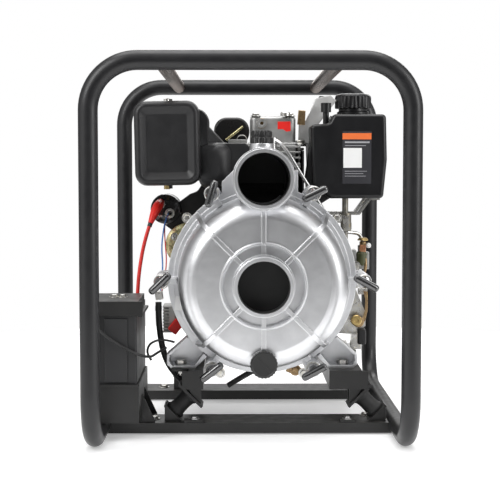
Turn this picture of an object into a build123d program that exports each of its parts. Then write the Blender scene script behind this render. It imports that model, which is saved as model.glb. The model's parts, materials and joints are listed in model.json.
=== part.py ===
from build123d import *
import os
from math import cos, pi, radians, sin, sqrt, tan

os.makedirs("parts", exist_ok=True)

# A three-inch trash pump: an air-cooled single-cylinder diesel engine drives the pump in front of it,
# and both stand on rubber mounts inside a welded tube frame, with a starting battery beside them.
# Millimetres. +Z is up, -Y is the front with the two hose ports, +X is to the right seen from the front.
# The origin is at the middle of the frame's footprint, on the ground.

# ---- driving dimensions -------------------------------------------------------------------------
FRAME_WIDTH = 486
FRAME_LENGTH = 608
FRAME_HEIGHT = 576
TUBE_R = 14
TUBE_WALL = 2
BEND_R = 70
STRINGER_X = 127
STRINGER_R = 11

AXIS_X = 20             # crankshaft and pump shaft
AXIS_Z = 237
PORT_BORE_R = 38        # three-inch ports
PORT_THREAD_R = 43.94   # G3 pipe thread, over the crests
PORT_COLLAR_R = 46.5
PORT_THREAD_LENGTH = 18
PORT_FACE_Y = -244
DISCHARGE_Z = AXIS_Z + 158

COVER_FACE_Y = -218
COVER_FLANGE_FRONT_Y = -98
COVER_FLANGE_BACK_Y = -90
CASING_FRONT_Y = -88
CASING_BACK_Y = -58
FLANGE_R = 148
NUT_CIRCLE_R = 156
LUG_R = 12
LUG_FRONT_Y = -140
NUT_BAR_Y = -175
NUT_COUNT = 6
NUT_BAR_TILTS = (-28.5, 26, 74, 43.7, 37.6, 28.5)
STUD_R = 5
RUNNING = 0.05          # radial clearance of a shaft in its hole

CROSS_DEPTH = 72
CROSS_TOP_Z = 18
CROSS_BOTTOM_Z = 2
MOUNT_ROW_Y = (-108, 181)
MOUNT_MIDDLE_X = 40
MOUNT_REACH = 158
MOUNT_FOOT_Z = 31
MOUNT_LENGTH = 35
MOUNT_RUBBER_R = 14
MOUNT_BOLT_R = 3.9
RAIL_TOP_Z = 97
RAIL_BOTTOM_Z = 68
LEFT_RAIL_X = (-105, -72)
RIGHT_RAIL_X = (124, 185)
RAIL_Y = (-130, 215)
RAIL_SHEET = 4

CYLINDER_X = AXIS_X
CYLINDER_Y = 50
BORE_R = 39
THROW = 31
CASE_X = (-62, 108)
CASE_Y = (-28, 108)
CASE_Z = (109, 325)
CASE_WALL = 8
HEAD_Z = (412, 452)
HEAD_X = (-35, 85)
HEAD_Y = (0, 100)
GEAR_MODULE = 2.1
CAM_GEAR_TEETH = 40
CRANK_GEAR_TEETH = 20
CAM_ANGLE = -60

BATTERY_X = (-240, -170)
BATTERY_Y = (-192, -11)
BATTERY_Z = (30, 197)

SHROUD_Y = (110, 196)
FLYWHEEL_Y = 150
RECOIL_Y = 197

# ---- helpers ------------------------------------------------------------------------------------
SHAFT = Axis((AXIS_X, 0, AXIS_Z), (0, 1, 0))


def save(piece, label):
    """Name a finished piece and write its STEP file."""
    piece.part.label = label
    export_step(piece.part, f"parts/{label}.step")


def slab(x, y, z, mode=Mode.ADD):
    """A box given by its low and high side along each axis."""
    with Locations(((x[0] + x[1]) / 2, (y[0] + y[1]) / 2, (z[0] + z[1]) / 2)):
        Box(x[1] - x[0], y[1] - y[0], z[1] - z[0], mode=mode)


def rod(start, end, radius, mode=Mode.ADD):
    """A round bar from one point to another."""
    run = Vector(end) - Vector(start)
    with BuildSketch(Plane(origin=start, z_dir=run)) as section:
        Circle(radius)
    extrude(section.sketch, amount=run.length, mode=mode)


def hex_bar(start, end, across_flats, mode=Mode.ADD):
    """A six-sided bar from one point to another."""
    run = Vector(end) - Vector(start)
    with BuildSketch(Plane(origin=start, z_dir=run)) as section:
        RegularPolygon(radius=across_flats / 2, side_count=6, major_radius=False)
    extrude(section.sketch, amount=run.length, mode=mode)


def turned(points, x=AXIS_X, z=AXIS_Z, mode=Mode.ADD):
    """Revolve (radius, Y) points about an axis that runs front to back."""
    with BuildSketch(Plane(origin=(x, 0, z))) as profile:
        with BuildLine():
            Polyline(points, close=True)
        make_face()
    revolve(profile.sketch, axis=Axis((x, 0, z), (0, 1, 0)), mode=mode)


def upright(points, x, y, mode=Mode.ADD):
    """Revolve (radius, Z) points about a vertical axis."""
    with BuildSketch(Plane(origin=(x, y, 0), x_dir=(1, 0, 0), z_dir=(0, -1, 0))) as profile:
        with BuildLine():
            Polyline(points, close=True)
        make_face()
    revolve(profile.sketch, axis=Axis((x, y, 0), (0, 0, 1)), mode=mode)


def facing(y, x=0, z=0):
    """A sketch plane that faces the front, with its own x along X and its own y along Z."""
    return Plane(origin=(x, y, z), x_dir=(1, 0, 0), z_dir=(0, -1, 0))


def plate(outline, y, mode=Mode.ADD, corner=0):
    """An (X, Z) outline with a given depth range along Y."""
    with BuildSketch(facing(y[1])) as shape:
        with BuildLine():
            Polyline(outline, close=True)
        make_face()
        if corner:
            fillet(shape.vertices(), corner)
    extrude(shape.sketch, amount=y[1] - y[0], mode=mode)


def around(radius, angle):
    """The (X, Z) point at a radius and an angle from the pump shaft."""
    return (AXIS_X + radius * cos(radians(angle)), AXIS_Z + radius * sin(radians(angle)))


def hose(points, radii, radius):
    """A round tube of straight runs joined by tangent arcs."""
    with BuildLine() as route:
        FilletPolyline(points, radius=radii)
    with BuildSketch(Plane(origin=route.line @ 0, z_dir=route.line % 0)) as section:
        Circle(radius)
    sweep(section.sketch, path=route.line)


def bend_radii(points):
    """The largest arc that each corner of a route has room for: 0.45 of its shorter run."""
    radii = []
    for before, corner, after in zip(points, points[1:], points[2:]):
        run_in = Vector(corner) - Vector(before)
        run_out = Vector(after) - Vector(corner)
        half_turn = radians(run_in.get_angle(run_out)) / 2
        radii.append(0.45 * min(run_in.length, run_out.length) / tan(half_turn))
    return radii


def gear(teeth, x, z, y, phase):
    """A spur gear about a front-to-back axis, with plain tapered teeth and some backlash."""
    pitch_r = GEAR_MODULE * teeth / 2
    root_r = pitch_r - 1.25 * GEAR_MODULE
    tip_r = pitch_r + 0.8 * GEAR_MODULE
    root_half = 0.24 * pi * GEAR_MODULE
    tip_half = 0.10 * pi * GEAR_MODULE
    with BuildSketch(facing(y[1], x, z)) as wheel:
        Circle(root_r)
        for number in range(teeth):
            with Locations(Rotation(0, 0, phase + 360 * number / teeth)):
                Polygon(
                    (root_r - 0.5, -root_half),
                    (tip_r, -tip_half),
                    (tip_r, tip_half),
                    (root_r - 0.5, root_half),
                    align=None,
                )
    extrude(wheel.sketch, amount=y[1] - y[0])


# ---- frame --------------------------------------------------------------------------------------
RAIL_X = FRAME_WIDTH / 2 - TUBE_R
HOOP_Y = FRAME_LENGTH / 2 - TUBE_R
TOP_BAR_Z = FRAME_HEIGHT - TUBE_R


def hoop(direction):
    """Half of the frame: a hoop whose two legs bend into the bottom rails and end at mid-length."""
    reach = direction * HOOP_Y
    corners = (
        (-RAIL_X, 0, TUBE_R),
        (-RAIL_X, reach, TUBE_R),
        (-RAIL_X, reach, TOP_BAR_Z),
        (RAIL_X, reach, TOP_BAR_Z),
        (RAIL_X, reach, TUBE_R),
        (RAIL_X, 0, TUBE_R),
    )
    with BuildPart() as tube:
        with BuildLine() as route:
            FilletPolyline(corners, radius=BEND_R)
        for radius, mode in ((TUBE_R, Mode.ADD), (TUBE_R - TUBE_WALL, Mode.SUBTRACT)):
            with BuildSketch(Plane(origin=route.line @ 0, z_dir=route.line % 0)):
                Circle(radius)
            sweep(path=route.line, mode=mode)
    return tube


front_hoop = hoop(-1)
save(front_hoop, "front_hoop")

rear_hoop = hoop(1)
save(rear_hoop, "rear_hoop")

with BuildPart() as top_stringers:
    for side in (-1, 1):
        ends = ((side * STRINGER_X, -HOOP_Y, TOP_BAR_Z), (side * STRINGER_X, HOOP_Y, TOP_BAR_Z))
        rod(ends[0], ends[1], STRINGER_R)
        rod(ends[0], ends[1], STRINGER_R - TUBE_WALL, mode=Mode.SUBTRACT)
    for direction in (-1, 1):
        bar_y = direction * HOOP_Y
        rod((-RAIL_X, bar_y, TOP_BAR_Z), (RAIL_X, bar_y, TOP_BAR_Z), TUBE_R, mode=Mode.SUBTRACT)
save(top_stringers, "top_stringers")


def mount_point(side, along):
    """A point on a rubber mount's slanted axis, measured up from the bracket it stands on."""
    step = along / sqrt(2)
    return (MOUNT_MIDDLE_X + side * (MOUNT_REACH - step), MOUNT_FOOT_Z + step)


def mount_plane(side, y, along):
    """A plane square to a rubber mount's axis, with its own x along Y."""
    x, z = mount_point(side, along)
    return Plane(origin=(x, y, z), x_dir=(0, 1, 0), z_dir=(-side, 0, 1))


def mount_plate(side, y, along, length):
    """A slanted steel plate that a rubber mount bolts to, with the hole for its bolt."""
    with BuildSketch(mount_plane(side, y, along)) as outline:
        Rectangle(44, length)
        Circle(MOUNT_BOLT_R + 0.4, mode=Mode.SUBTRACT)
    extrude(outline.sketch, amount=RAIL_SHEET)


BRACKET_HALF = 18 / sqrt(2)

with BuildPart() as crossmembers:
    for row_y in MOUNT_ROW_Y:
        near, far = row_y - CROSS_DEPTH / 2, row_y + CROSS_DEPTH / 2
        slab((-RAIL_X, RAIL_X), (near, far), (CROSS_BOTTOM_Z, CROSS_TOP_Z))
        slab((-RAIL_X, RAIL_X), (near + 3, far - 3), (CROSS_BOTTOM_Z, CROSS_TOP_Z - 3), mode=Mode.SUBTRACT)
        for side in (-1, 1):
            mount_plate(side, row_y, -RAIL_SHEET, 36)
            seat_x, seat_z = mount_point(side, -2)
            outer_x = seat_x + side * BRACKET_HALF
            inner_x = seat_x - side * BRACKET_HALF
            gusset = (
                (outer_x, seat_z + BRACKET_HALF),
                (outer_x, CROSS_TOP_Z - 1),
                (inner_x, CROSS_TOP_Z - 1),
            )
            for offset_y in (-20, 20):
                plate(gusset, (row_y + offset_y - 2, row_y + offset_y + 2))
    for side in (-1, 1):
        rod((side * RAIL_X, -HOOP_Y, TUBE_R), (side * RAIL_X, HOOP_Y, TUBE_R), TUBE_R, mode=Mode.SUBTRACT)
save(crossmembers, "crossmembers")

with BuildPart() as rubber_mounts:
    for side in (-1, 1):
        for row_y in MOUNT_ROW_Y:
            with BuildSketch(mount_plane(side, row_y, 0)):
                Circle(MOUNT_RUBBER_R)
                Circle(MOUNT_BOLT_R + 0.4, mode=Mode.SUBTRACT)
            extrude(amount=MOUNT_LENGTH)
save(rubber_mounts, "rubber_mounts")

ENGINE_BOLTS = tuple((x, y) for x in (-83.5, 160) for y in (10, 80))
PUMP_BOLTS = ((-109, -82), (148, -82))

with BuildPart() as bed_rails:
    for side, inner_x, outer_x in ((-1, LEFT_RAIL_X[1], LEFT_RAIL_X[0]), (1, *RIGHT_RAIL_X)):
        shell = (
            (inner_x, RAIL_BOTTOM_Z),
            (outer_x, RAIL_BOTTOM_Z),
            (outer_x - side * 10, RAIL_TOP_Z),
            (inner_x, RAIL_TOP_Z),
        )
        hollow = (
            (inner_x + side * RAIL_SHEET, RAIL_BOTTOM_Z - 1),
            (outer_x - side * RAIL_SHEET, RAIL_BOTTOM_Z - 1),
            (outer_x - side * (10 + RAIL_SHEET), RAIL_TOP_Z - RAIL_SHEET),
            (inner_x + side * RAIL_SHEET, RAIL_TOP_Z - RAIL_SHEET),
        )
        plate(shell, RAIL_Y)
        plate(hollow, (RAIL_Y[0] - 1, RAIL_Y[1] + 1), mode=Mode.SUBTRACT)
        if side < 0:
            slab((outer_x - 17, inner_x), (-112, -55), (RAIL_TOP_Z - RAIL_SHEET, RAIL_TOP_Z))
        for row_y in MOUNT_ROW_Y:
            mount_plate(side, row_y, MOUNT_LENGTH, 50)
            top_x, top_z = mount_point(side, MOUNT_LENGTH + 2)
            web = (
                (top_x + side * 6, RAIL_BOTTOM_Z + 2),
                (top_x - side * 16, top_z - 16),
                (top_x - side * 16, RAIL_BOTTOM_Z + 2),
            )
            for offset_y in (-14, 14):
                plate(web, (row_y + offset_y - 2, row_y + offset_y + 2))
        slab(sorted((inner_x, outer_x)), (RAIL_Y[0], RAIL_Y[0] + 3), (RAIL_BOTTOM_Z, RAIL_TOP_Z - 1))
    for x, y in ENGINE_BOLTS + PUMP_BOLTS:
        rod((x, y, RAIL_TOP_Z - 8), (x, y, RAIL_TOP_Z + 1), STUD_R + 0.5, mode=Mode.SUBTRACT)
save(bed_rails, "bed_rails")

with BuildPart() as base_fasteners:
    for side in (-1, 1):
        for row_y in MOUNT_ROW_Y:
            for start, end in (
                (-RAIL_SHEET - 7, -RAIL_SHEET),
                (MOUNT_LENGTH + RAIL_SHEET, MOUNT_LENGTH + 11),
            ):
                x0, z0 = mount_point(side, start)
                x1, z1 = mount_point(side, end)
                hex_bar((x0, row_y, z0), (x1, row_y, z1), 13)
            x0, z0 = mount_point(side, -RAIL_SHEET - 10)
            x1, z1 = mount_point(side, MOUNT_LENGTH + 14)
            rod((x0, row_y, z0), (x1, row_y, z1), MOUNT_BOLT_R)
    for bolts, seat_z in ((ENGINE_BOLTS, CASE_Z[0] + 1), (PUMP_BOLTS, 101)):
        for x, y in bolts:
            hex_bar((x, y, seat_z), (x, y, seat_z + 6), 16)
            rod((x, y, RAIL_TOP_Z - 14), (x, y, seat_z), STUD_R)
            hex_bar((x, y, RAIL_TOP_Z - 11), (x, y, RAIL_TOP_Z - RAIL_SHEET), 12)
save(base_fasteners, "base_fasteners")

# ---- battery ------------------------------------------------------------------------------------
TRAY_GAP = 1
TRAY_SHEET = 2
TRAY_TOP_Z = 86

with BuildPart() as battery_tray:
    tray_x = (BATTERY_X[0] - TRAY_GAP - TRAY_SHEET, BATTERY_X[1] + TRAY_GAP + TRAY_SHEET)
    tray_y = (BATTERY_Y[0] - TRAY_GAP - TRAY_SHEET, BATTERY_Y[1] + TRAY_GAP + TRAY_SHEET)
    slab(tray_x, tray_y, (2 * TUBE_R, TRAY_TOP_Z))
    inner_x = (tray_x[0] + TRAY_SHEET, tray_x[1] - TRAY_SHEET)
    inner_y = (tray_y[0] + TRAY_SHEET, tray_y[1] - TRAY_SHEET)
    slab(inner_x, inner_y, (2 * TUBE_R + TRAY_SHEET, TRAY_TOP_Z + 1), mode=Mode.SUBTRACT)
    # A folded leg carries the tray's inner side down to the front crossmember.
    leg = (
        (tray_x[1], 64),
        (tray_x[1], 2 * TUBE_R),
        (tray_x[1] + 3, CROSS_TOP_Z),
        (tray_x[1] + 20, CROSS_TOP_Z),
        (tray_x[1] + 20, CROSS_TOP_Z + 3),
    )
    for leg_y in (-138, -80):
        plate(leg, (leg_y, leg_y + 3))
    slab((tray_x[1], tray_x[1] + 20), (-138, -77), (CROSS_TOP_Z, CROSS_TOP_Z + 3))
save(battery_tray, "battery_tray")

TERMINAL_Y = BATTERY_Y[1] - 22
TERMINAL_X = (BATTERY_X[0] + 11, BATTERY_X[1] - 11)

with BuildPart() as battery:
    slab(BATTERY_X, BATTERY_Y, BATTERY_Z)
    fillet(battery.edges().filter_by(Axis.Z), 3)
    lid_z = BATTERY_Z[1] - 26
    slab((BATTERY_X[0] + 1, BATTERY_X[1] - 1), (BATTERY_Y[0] + 1, BATTERY_Y[1] - 1), (lid_z, lid_z + 1))
    for x in TERMINAL_X:
        slab((x - 7, x + 7), (TERMINAL_Y - 7, TERMINAL_Y + 7), (BATTERY_Z[1], BATTERY_Z[1] + 6))
save(battery, "battery")

HOLD_DOWN_Y = (BATTERY_Y[0] - 1, -66)
HOLD_DOWN_Z = 212

with BuildPart() as battery_hold_down:
    slab((BATTERY_X[0], BATTERY_X[1] + 2), HOLD_DOWN_Y, (HOLD_DOWN_Z - 3, HOLD_DOWN_Z))
    lip_y = (HOLD_DOWN_Y[0] - 2, HOLD_DOWN_Y[0])
    slab((BATTERY_X[0] + 14, BATTERY_X[1] + 2), lip_y, (HOLD_DOWN_Z - 22, HOLD_DOWN_Z))
    # The side lip ends on the battery's top edge.
    slab((BATTERY_X[1] + 0.5, BATTERY_X[1] + 2.5), HOLD_DOWN_Y, (HOLD_DOWN_Z - 14, HOLD_DOWN_Z))
    for x in (BATTERY_X[0] + 30, BATTERY_X[0] + 46):
        slab((x - 6, x + 6), (-140, -90), (BATTERY_Z[1], HOLD_DOWN_Z - 3))
save(battery_hold_down, "battery_hold_down")

# ---- pump ---------------------------------------------------------------------------------------
RISER_X = (-43, 76)
RISER_TOP_Z = 408


def riser(y, shrink=0, mode=Mode.ADD):
    """The flat-sided top of the casing and of the cover's flange, round the discharge passage."""
    low_x, high_x = RISER_X[0] + shrink, RISER_X[1] - shrink
    top = RISER_TOP_Z - shrink
    outline = (
        (low_x, AXIS_Z + 60),
        (high_x, AXIS_Z + 60),
        (high_x, top),
        (low_x + 18, top),
        (low_x, top - 18),
    )
    plate(outline, y, mode=mode)


def foot_outline(side, wall=0):
    """A mounting foot seen from the front: it spreads out and down from the casing's lower corner."""
    shape = (
        (116 - wall, 148),
        (150 - wall, 118 - 0.4 * wall),
        (150 - wall, 103 + wall),
        (144 - 0.6 * wall, 97 + wall),
        (105 + 0.4 * wall, 97 + wall),
        (85 + 1.4 * wall, 117 + wall),
        (60 + wall, 140),
    )
    return tuple((AXIS_X + side * reach, z) for reach, z in shape)


with BuildPart() as pump_casing:
    turned(
        (
            (0, CASING_FRONT_Y),
            (FLANGE_R - 2, CASING_FRONT_Y),
            (FLANGE_R - 2, CASING_BACK_Y),
            (0, CASING_BACK_Y),
        ),
    )
    riser((CASING_FRONT_Y, CASING_BACK_Y))
    for side in (-1, 1):
        plate(foot_outline(side), (-102, -62))
    for number in range(NUT_COUNT):
        x, z = around(NUT_CIRCLE_R, 60 * number)
        root_x, root_z = around(FLANGE_R - 12, 60 * number)
        rod((x, CASING_FRONT_Y, z), (x, CASING_FRONT_Y + 22, z), LUG_R)
        with Locations(
            Location(((x + root_x) / 2, CASING_FRONT_Y + 11, (z + root_z) / 2), (0, -60 * number, 0)),
        ):
            Box(24, 22, 2 * LUG_R)
    # The feet stay clear of the cover, which covers the casing's front.
    turned(
        ((0, -104), (FLANGE_R + 1, -104), (FLANGE_R + 1, CASING_FRONT_Y), (0, CASING_FRONT_Y)),
        mode=Mode.SUBTRACT,
    )
    for side in (-1, 1):
        plate(foot_outline(side, wall=4), (-103, -70), mode=Mode.SUBTRACT)
    inner_back = CASING_BACK_Y - 8
    turned(
        ((0, CASING_FRONT_Y - 1), (134, CASING_FRONT_Y - 1), (134, inner_back), (0, inner_back)),
        mode=Mode.SUBTRACT,
    )
    slab(
        (AXIS_X - 34, AXIS_X + 34),
        (CASING_FRONT_Y - 1, inner_back),
        (AXIS_Z + 100, RISER_TOP_Z - 14),
        mode=Mode.SUBTRACT,
    )
    rod((AXIS_X, CASING_BACK_Y - 9, AXIS_Z), (AXIS_X, CASING_BACK_Y + 1, AXIS_Z), 24, mode=Mode.SUBTRACT)
    for number in range(NUT_COUNT):
        x, z = around(NUT_CIRCLE_R, 60 * number)
        rod((x, CASING_FRONT_Y, z), (x, CASING_FRONT_Y + 18, z), STUD_R, mode=Mode.SUBTRACT)
    for x, y in PUMP_BOLTS:
        rod((x, y, 95), (x, y, 103), STUD_R + 0.5, mode=Mode.SUBTRACT)
save(pump_casing, "pump_casing")


SHOULDER_Y = -191


def dome(grow, back_y, mode=Mode.ADD):
    """The cover's pan: a flat face, a large round shoulder and a wall with a little draft."""
    face_r, wall_r, rim_r = 100 + 0.4 * grow, 127 + grow, 133 + grow
    face_y = COVER_FACE_Y - grow
    with BuildSketch(Plane(origin=(AXIS_X, 0, AXIS_Z))) as section:
        with BuildLine():
            TangentArc((wall_r, SHOULDER_Y), (face_r, face_y), tangent=(-0.07, -1))
            Polyline((face_r, face_y), (0, face_y), (0, back_y), (rim_r, back_y), (wall_r, SHOULDER_Y))
        make_face()
    revolve(section.sketch, axis=SHAFT, mode=mode)


DRAIN_Z = 122
FILLER_X = 17
FILLER_Y = -205
FILLER_NECK_Z = 447
RIB_HEIGHT = 5
RIB_WIDTH = 6.5
RIB_ANGLES = (45, 90, 135, 225, 270, 315)
WEB_ROOT_R = 115
WEB_FRONT_R = 131
WEB_FOOT_R = 146
FLAP_PIN_Y = -200
FLAP_PIN_Z = AXIS_Z + 50
FLAP_PIN_R = 2.5

with BuildPart() as rib_star:
    # The ribs stand a constant height over the pan, so they are cut from a grown copy of it.
    dome(RIB_HEIGHT, COVER_FLANGE_BACK_Y - 2)
    with BuildSketch(facing(0, AXIS_X, AXIS_Z), mode=Mode.PRIVATE) as spokes:
        for angle in RIB_ANGLES:
            with Locations(Rotation(0, 0, angle)):
                with Locations((95, 0)):
                    Rectangle(100, RIB_WIDTH)
    extrude(spokes.sketch, amount=300, both=True, mode=Mode.INTERSECT)
    # The four slanting ribs run on behind the shoulder, as webs that spread out to the flange.
    for angle in RIB_ANGLES:
        if angle in (90, 270):
            continue
        outward = Vector(cos(radians(angle)), 0, sin(radians(angle)))
        across = Vector(-outward.Z, 0, outward.X)
        web_outline = (
            (WEB_ROOT_R, SHOULDER_Y - 5),
            (WEB_FRONT_R, SHOULDER_Y + 1),
            (WEB_FOOT_R, COVER_FLANGE_FRONT_Y - 8),
            (WEB_FOOT_R, COVER_FLANGE_FRONT_Y + 2),
            (WEB_ROOT_R, COVER_FLANGE_FRONT_Y + 2),
        )
        with BuildSketch(Plane(origin=(AXIS_X, 0, AXIS_Z), x_dir=outward, z_dir=across)) as web:
            with BuildLine():
                Polyline(*web_outline, close=True)
            make_face()
        extrude(web.sketch, amount=RIB_WIDTH / 2, both=True)
    rod((AXIS_X, -240, DRAIN_Z), (AXIS_X, -150, DRAIN_Z), 21, mode=Mode.SUBTRACT)

with BuildPart() as pump_cover:
    dome(0, COVER_FLANGE_BACK_Y)
    turned(
        (
            (100, COVER_FLANGE_BACK_Y),
            (FLANGE_R, COVER_FLANGE_BACK_Y),
            (FLANGE_R, COVER_FLANGE_FRONT_Y),
            (139, COVER_FLANGE_FRONT_Y),
            (139, COVER_FLANGE_FRONT_Y - 4),
            (100, COVER_FLANGE_FRONT_Y - 4),
        )
    )
    riser((COVER_FLANGE_FRONT_Y, COVER_FLANGE_BACK_Y))
    add(rib_star.part)
    # Six lugs on the rim take the handle nuts, each with a web back to the pan.
    for number in range(NUT_COUNT):
        x, z = around(NUT_CIRCLE_R, 60 * number)
        rod((x, COVER_FLANGE_BACK_Y, z), (x, LUG_FRONT_Y, z), LUG_R)
        root_x, root_z = around(FLANGE_R - 12, 60 * number)
        web_y = (COVER_FLANGE_BACK_Y + LUG_FRONT_Y + 12) / 2
        with Locations(Location(((x + root_x) / 2, web_y, (z + root_z) / 2), (0, -60 * number, 0))):
            Box(26, COVER_FLANGE_BACK_Y - LUG_FRONT_Y - 12, 9)
    # Suction neck in the middle and discharge neck above it.
    for port_z in (AXIS_Z, DISCHARGE_Z):
        back_y = COVER_FACE_Y + 10 if port_z == AXIS_Z else COVER_FLANGE_BACK_Y
        step_y = PORT_FACE_Y + PORT_THREAD_LENGTH
        rod((AXIS_X, PORT_FACE_Y, port_z), (AXIS_X, step_y, port_z), PORT_THREAD_R)
        rod((AXIS_X, step_y, port_z), (AXIS_X, back_y, port_z), PORT_COLLAR_R)
    turned(((60, -208), (65, -208), (65, -222), (63.5, -223.5), (61.5, -223.5), (60, -222)))
    rod((AXIS_X, COVER_FACE_Y - 0.5, DRAIN_Z), (AXIS_X, -150, DRAIN_Z), 19)
    rod((FILLER_X, FILLER_Y, DISCHARGE_Z + 30), (FILLER_X, FILLER_Y, FILLER_NECK_Z), 17.5)
    # Water side: the pan is hollow and both ports are open to it.
    dome(-6, COVER_FLANGE_BACK_Y + 1, mode=Mode.SUBTRACT)
    turned(((PORT_COLLAR_R, -219), (60, -219), (60, -214), (PORT_COLLAR_R, -214)), mode=Mode.SUBTRACT)
    rod(
        (AXIS_X, PORT_FACE_Y - 1, AXIS_Z),
        (AXIS_X, COVER_FACE_Y + 11, AXIS_Z),
        PORT_BORE_R,
        mode=Mode.SUBTRACT,
    )
    rod(
        (AXIS_X, PORT_FACE_Y - 1, DISCHARGE_Z),
        (AXIS_X, COVER_FLANGE_BACK_Y - 8, DISCHARGE_Z),
        PORT_BORE_R,
        mode=Mode.SUBTRACT,
    )
    slab(
        (AXIS_X - 34, AXIS_X + 34),
        (-170, COVER_FLANGE_BACK_Y + 1),
        (AXIS_Z + 100, DISCHARGE_Z - 8),
        mode=Mode.SUBTRACT,
    )
    rod((AXIS_X, COVER_FACE_Y - 1, DRAIN_Z), (AXIS_X, -160, DRAIN_Z), 13, mode=Mode.SUBTRACT)
    rod((FILLER_X, FILLER_Y, DISCHARGE_Z), (FILLER_X, FILLER_Y, FILLER_NECK_Z + 1), 13, mode=Mode.SUBTRACT)
    for number in range(NUT_COUNT):
        x, z = around(NUT_CIRCLE_R, 60 * number)
        rod((x, COVER_FLANGE_BACK_Y + 1, z), (x, LUG_FRONT_Y - 1, z), STUD_R + 0.6, mode=Mode.SUBTRACT)
    # Two ears behind the suction neck carry the flap's pin.
    for side in (-1, 1):
        ear_x = AXIS_X + side * 26
        slab((ear_x - 3, ear_x + 3), (-213, FLAP_PIN_Y + 5), (FLAP_PIN_Z - 5, FLAP_PIN_Z + 5))
    rod(
        (AXIS_X - 30, FLAP_PIN_Y, FLAP_PIN_Z),
        (AXIS_X + 30, FLAP_PIN_Y, FLAP_PIN_Z),
        FLAP_PIN_R + RUNNING,
        mode=Mode.SUBTRACT,
    )
save(pump_cover, "pump_cover")

with BuildPart() as cover_gasket:
    turned(
        (
            (135, COVER_FLANGE_BACK_Y),
            (143, COVER_FLANGE_BACK_Y),
            (143, CASING_FRONT_Y),
            (135, CASING_FRONT_Y),
        ),
    )
save(cover_gasket, "cover_gasket")

with BuildPart() as suction_flap:
    rod((AXIS_X, -206, AXIS_Z), (AXIS_X, -200, AXIS_Z), 43)
    rod((AXIS_X, -200, AXIS_Z), (AXIS_X, -194, AXIS_Z), 30)
    slab((AXIS_X - 20, AXIS_X + 20), (-206, -200), (AXIS_Z + 20, FLAP_PIN_Z))
    rod((AXIS_X - 22, FLAP_PIN_Y, FLAP_PIN_Z), (AXIS_X + 22, FLAP_PIN_Y, FLAP_PIN_Z), 5)
    rod((AXIS_X - 29, FLAP_PIN_Y, FLAP_PIN_Z), (AXIS_X + 29, FLAP_PIN_Y, FLAP_PIN_Z), FLAP_PIN_R)
save(suction_flap, "suction_flap")

VOLUTE_Y = (-146, CASING_BACK_Y - 8)
IMPELLER_R = 70

with BuildPart() as volute_insert:
    with BuildSketch(facing(VOLUTE_Y[1])):
        with Locations((AXIS_X - 8, AXIS_Z + 4)):
            Circle(98)
        with Locations((AXIS_X + 36, AXIS_Z + 72)):
            Rectangle(48, 62)
    extrude(amount=VOLUTE_Y[1] - VOLUTE_Y[0])
    with BuildSketch(facing(VOLUTE_Y[1] + 1)):
        with Locations((AXIS_X - 8, AXIS_Z + 4)):
            Circle(91)
        with Locations((AXIS_X + 36, AXIS_Z + 80)):
            Rectangle(36, 90)
    extrude(amount=VOLUTE_Y[1] + 1 - VOLUTE_Y[0] - 8, mode=Mode.SUBTRACT)
    rod((AXIS_X, VOLUTE_Y[0] - 1, AXIS_Z), (AXIS_X, VOLUTE_Y[0] + 10, AXIS_Z), 40, mode=Mode.SUBTRACT)
save(volute_insert, "volute_insert")

SHAFT_SEAT_R = 12.5

with BuildPart() as impeller:
    turned(((SHAFT_SEAT_R, -94), (IMPELLER_R, -94), (IMPELLER_R, -89), (SHAFT_SEAT_R, -89)))
    turned(((SHAFT_SEAT_R, -130), (19, -130), (24, -94), (24, -89), (SHAFT_SEAT_R, -89)))
    # Three long vanes sweep back from the hub to the rim.
    for number in range(3):
        line = [Vector(*point).rotate(Axis.Z, 120 * number) for point in ((17, 6), (42, 22), (65, 8))]
        with BuildSketch(facing(-94, AXIS_X, AXIS_Z)):
            SlotArc(ThreePointArc(*line), 7)
        extrude(amount=36)
    turned(((IMPELLER_R, -150), (130, -150), (130, -80), (IMPELLER_R, -80)), mode=Mode.SUBTRACT)
    turned(
        ((0, -150), (SHAFT_SEAT_R + 0.02, -150), (SHAFT_SEAT_R + 0.02, -80), (0, -80)),
        mode=Mode.SUBTRACT,
    )
save(impeller, "impeller")

with BuildPart() as shaft_seal:
    turned(((SHAFT_SEAT_R + RUNNING, -84), (20, -84), (24, -74), (24, -58), (SHAFT_SEAT_R + RUNNING, -58)))
save(shaft_seal, "shaft_seal")

with BuildPart() as cover_studs:
    for number in range(NUT_COUNT):
        x, z = around(NUT_CIRCLE_R, 60 * number)
        rod((x, CASING_FRONT_Y + 18, z), (x, -165, z), STUD_R)
save(cover_studs, "cover_studs")

for number in range(NUT_COUNT):
    nut_x, nut_z = around(NUT_CIRCLE_R, 60 * number)
    tilt = radians(NUT_BAR_TILTS[number])
    half_x, half_z = 21.5 * cos(tilt), 21.5 * sin(tilt)
    with BuildPart() as handle_nut:
        turned(
            ((0, -172), (8, -172), (11, -152), (11, LUG_FRONT_Y - 0.3), (0, LUG_FRONT_Y - 0.3)),
            nut_x,
            nut_z,
        )
        rod((nut_x - half_x, NUT_BAR_Y, nut_z - half_z), (nut_x + half_x, NUT_BAR_Y, nut_z + half_z), 5.5)
        fillet(
            handle_nut.edges().filter_by(GeomType.CIRCLE).filter_by(
                lambda rim: abs(rim.radius - 5.5) < 0.01,
            ),
            1,
        )
        rod((nut_x, LUG_FRONT_Y, nut_z), (nut_x, -166, nut_z), STUD_R + RUNNING, mode=Mode.SUBTRACT)
    save(handle_nut, f"handle_nut_{number + 1}")

with BuildPart() as filler_cap:
    neck_top = FILLER_NECK_Z + 0.3
    upright(
        ((0, neck_top - 14), (12.7, neck_top - 14), (12.7, neck_top), (17, neck_top), (17, neck_top + 12),
         (15, neck_top + 19), (0, neck_top + 19)),
        FILLER_X,
        FILLER_Y,
    )
save(filler_cap, "filler_cap")

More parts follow.
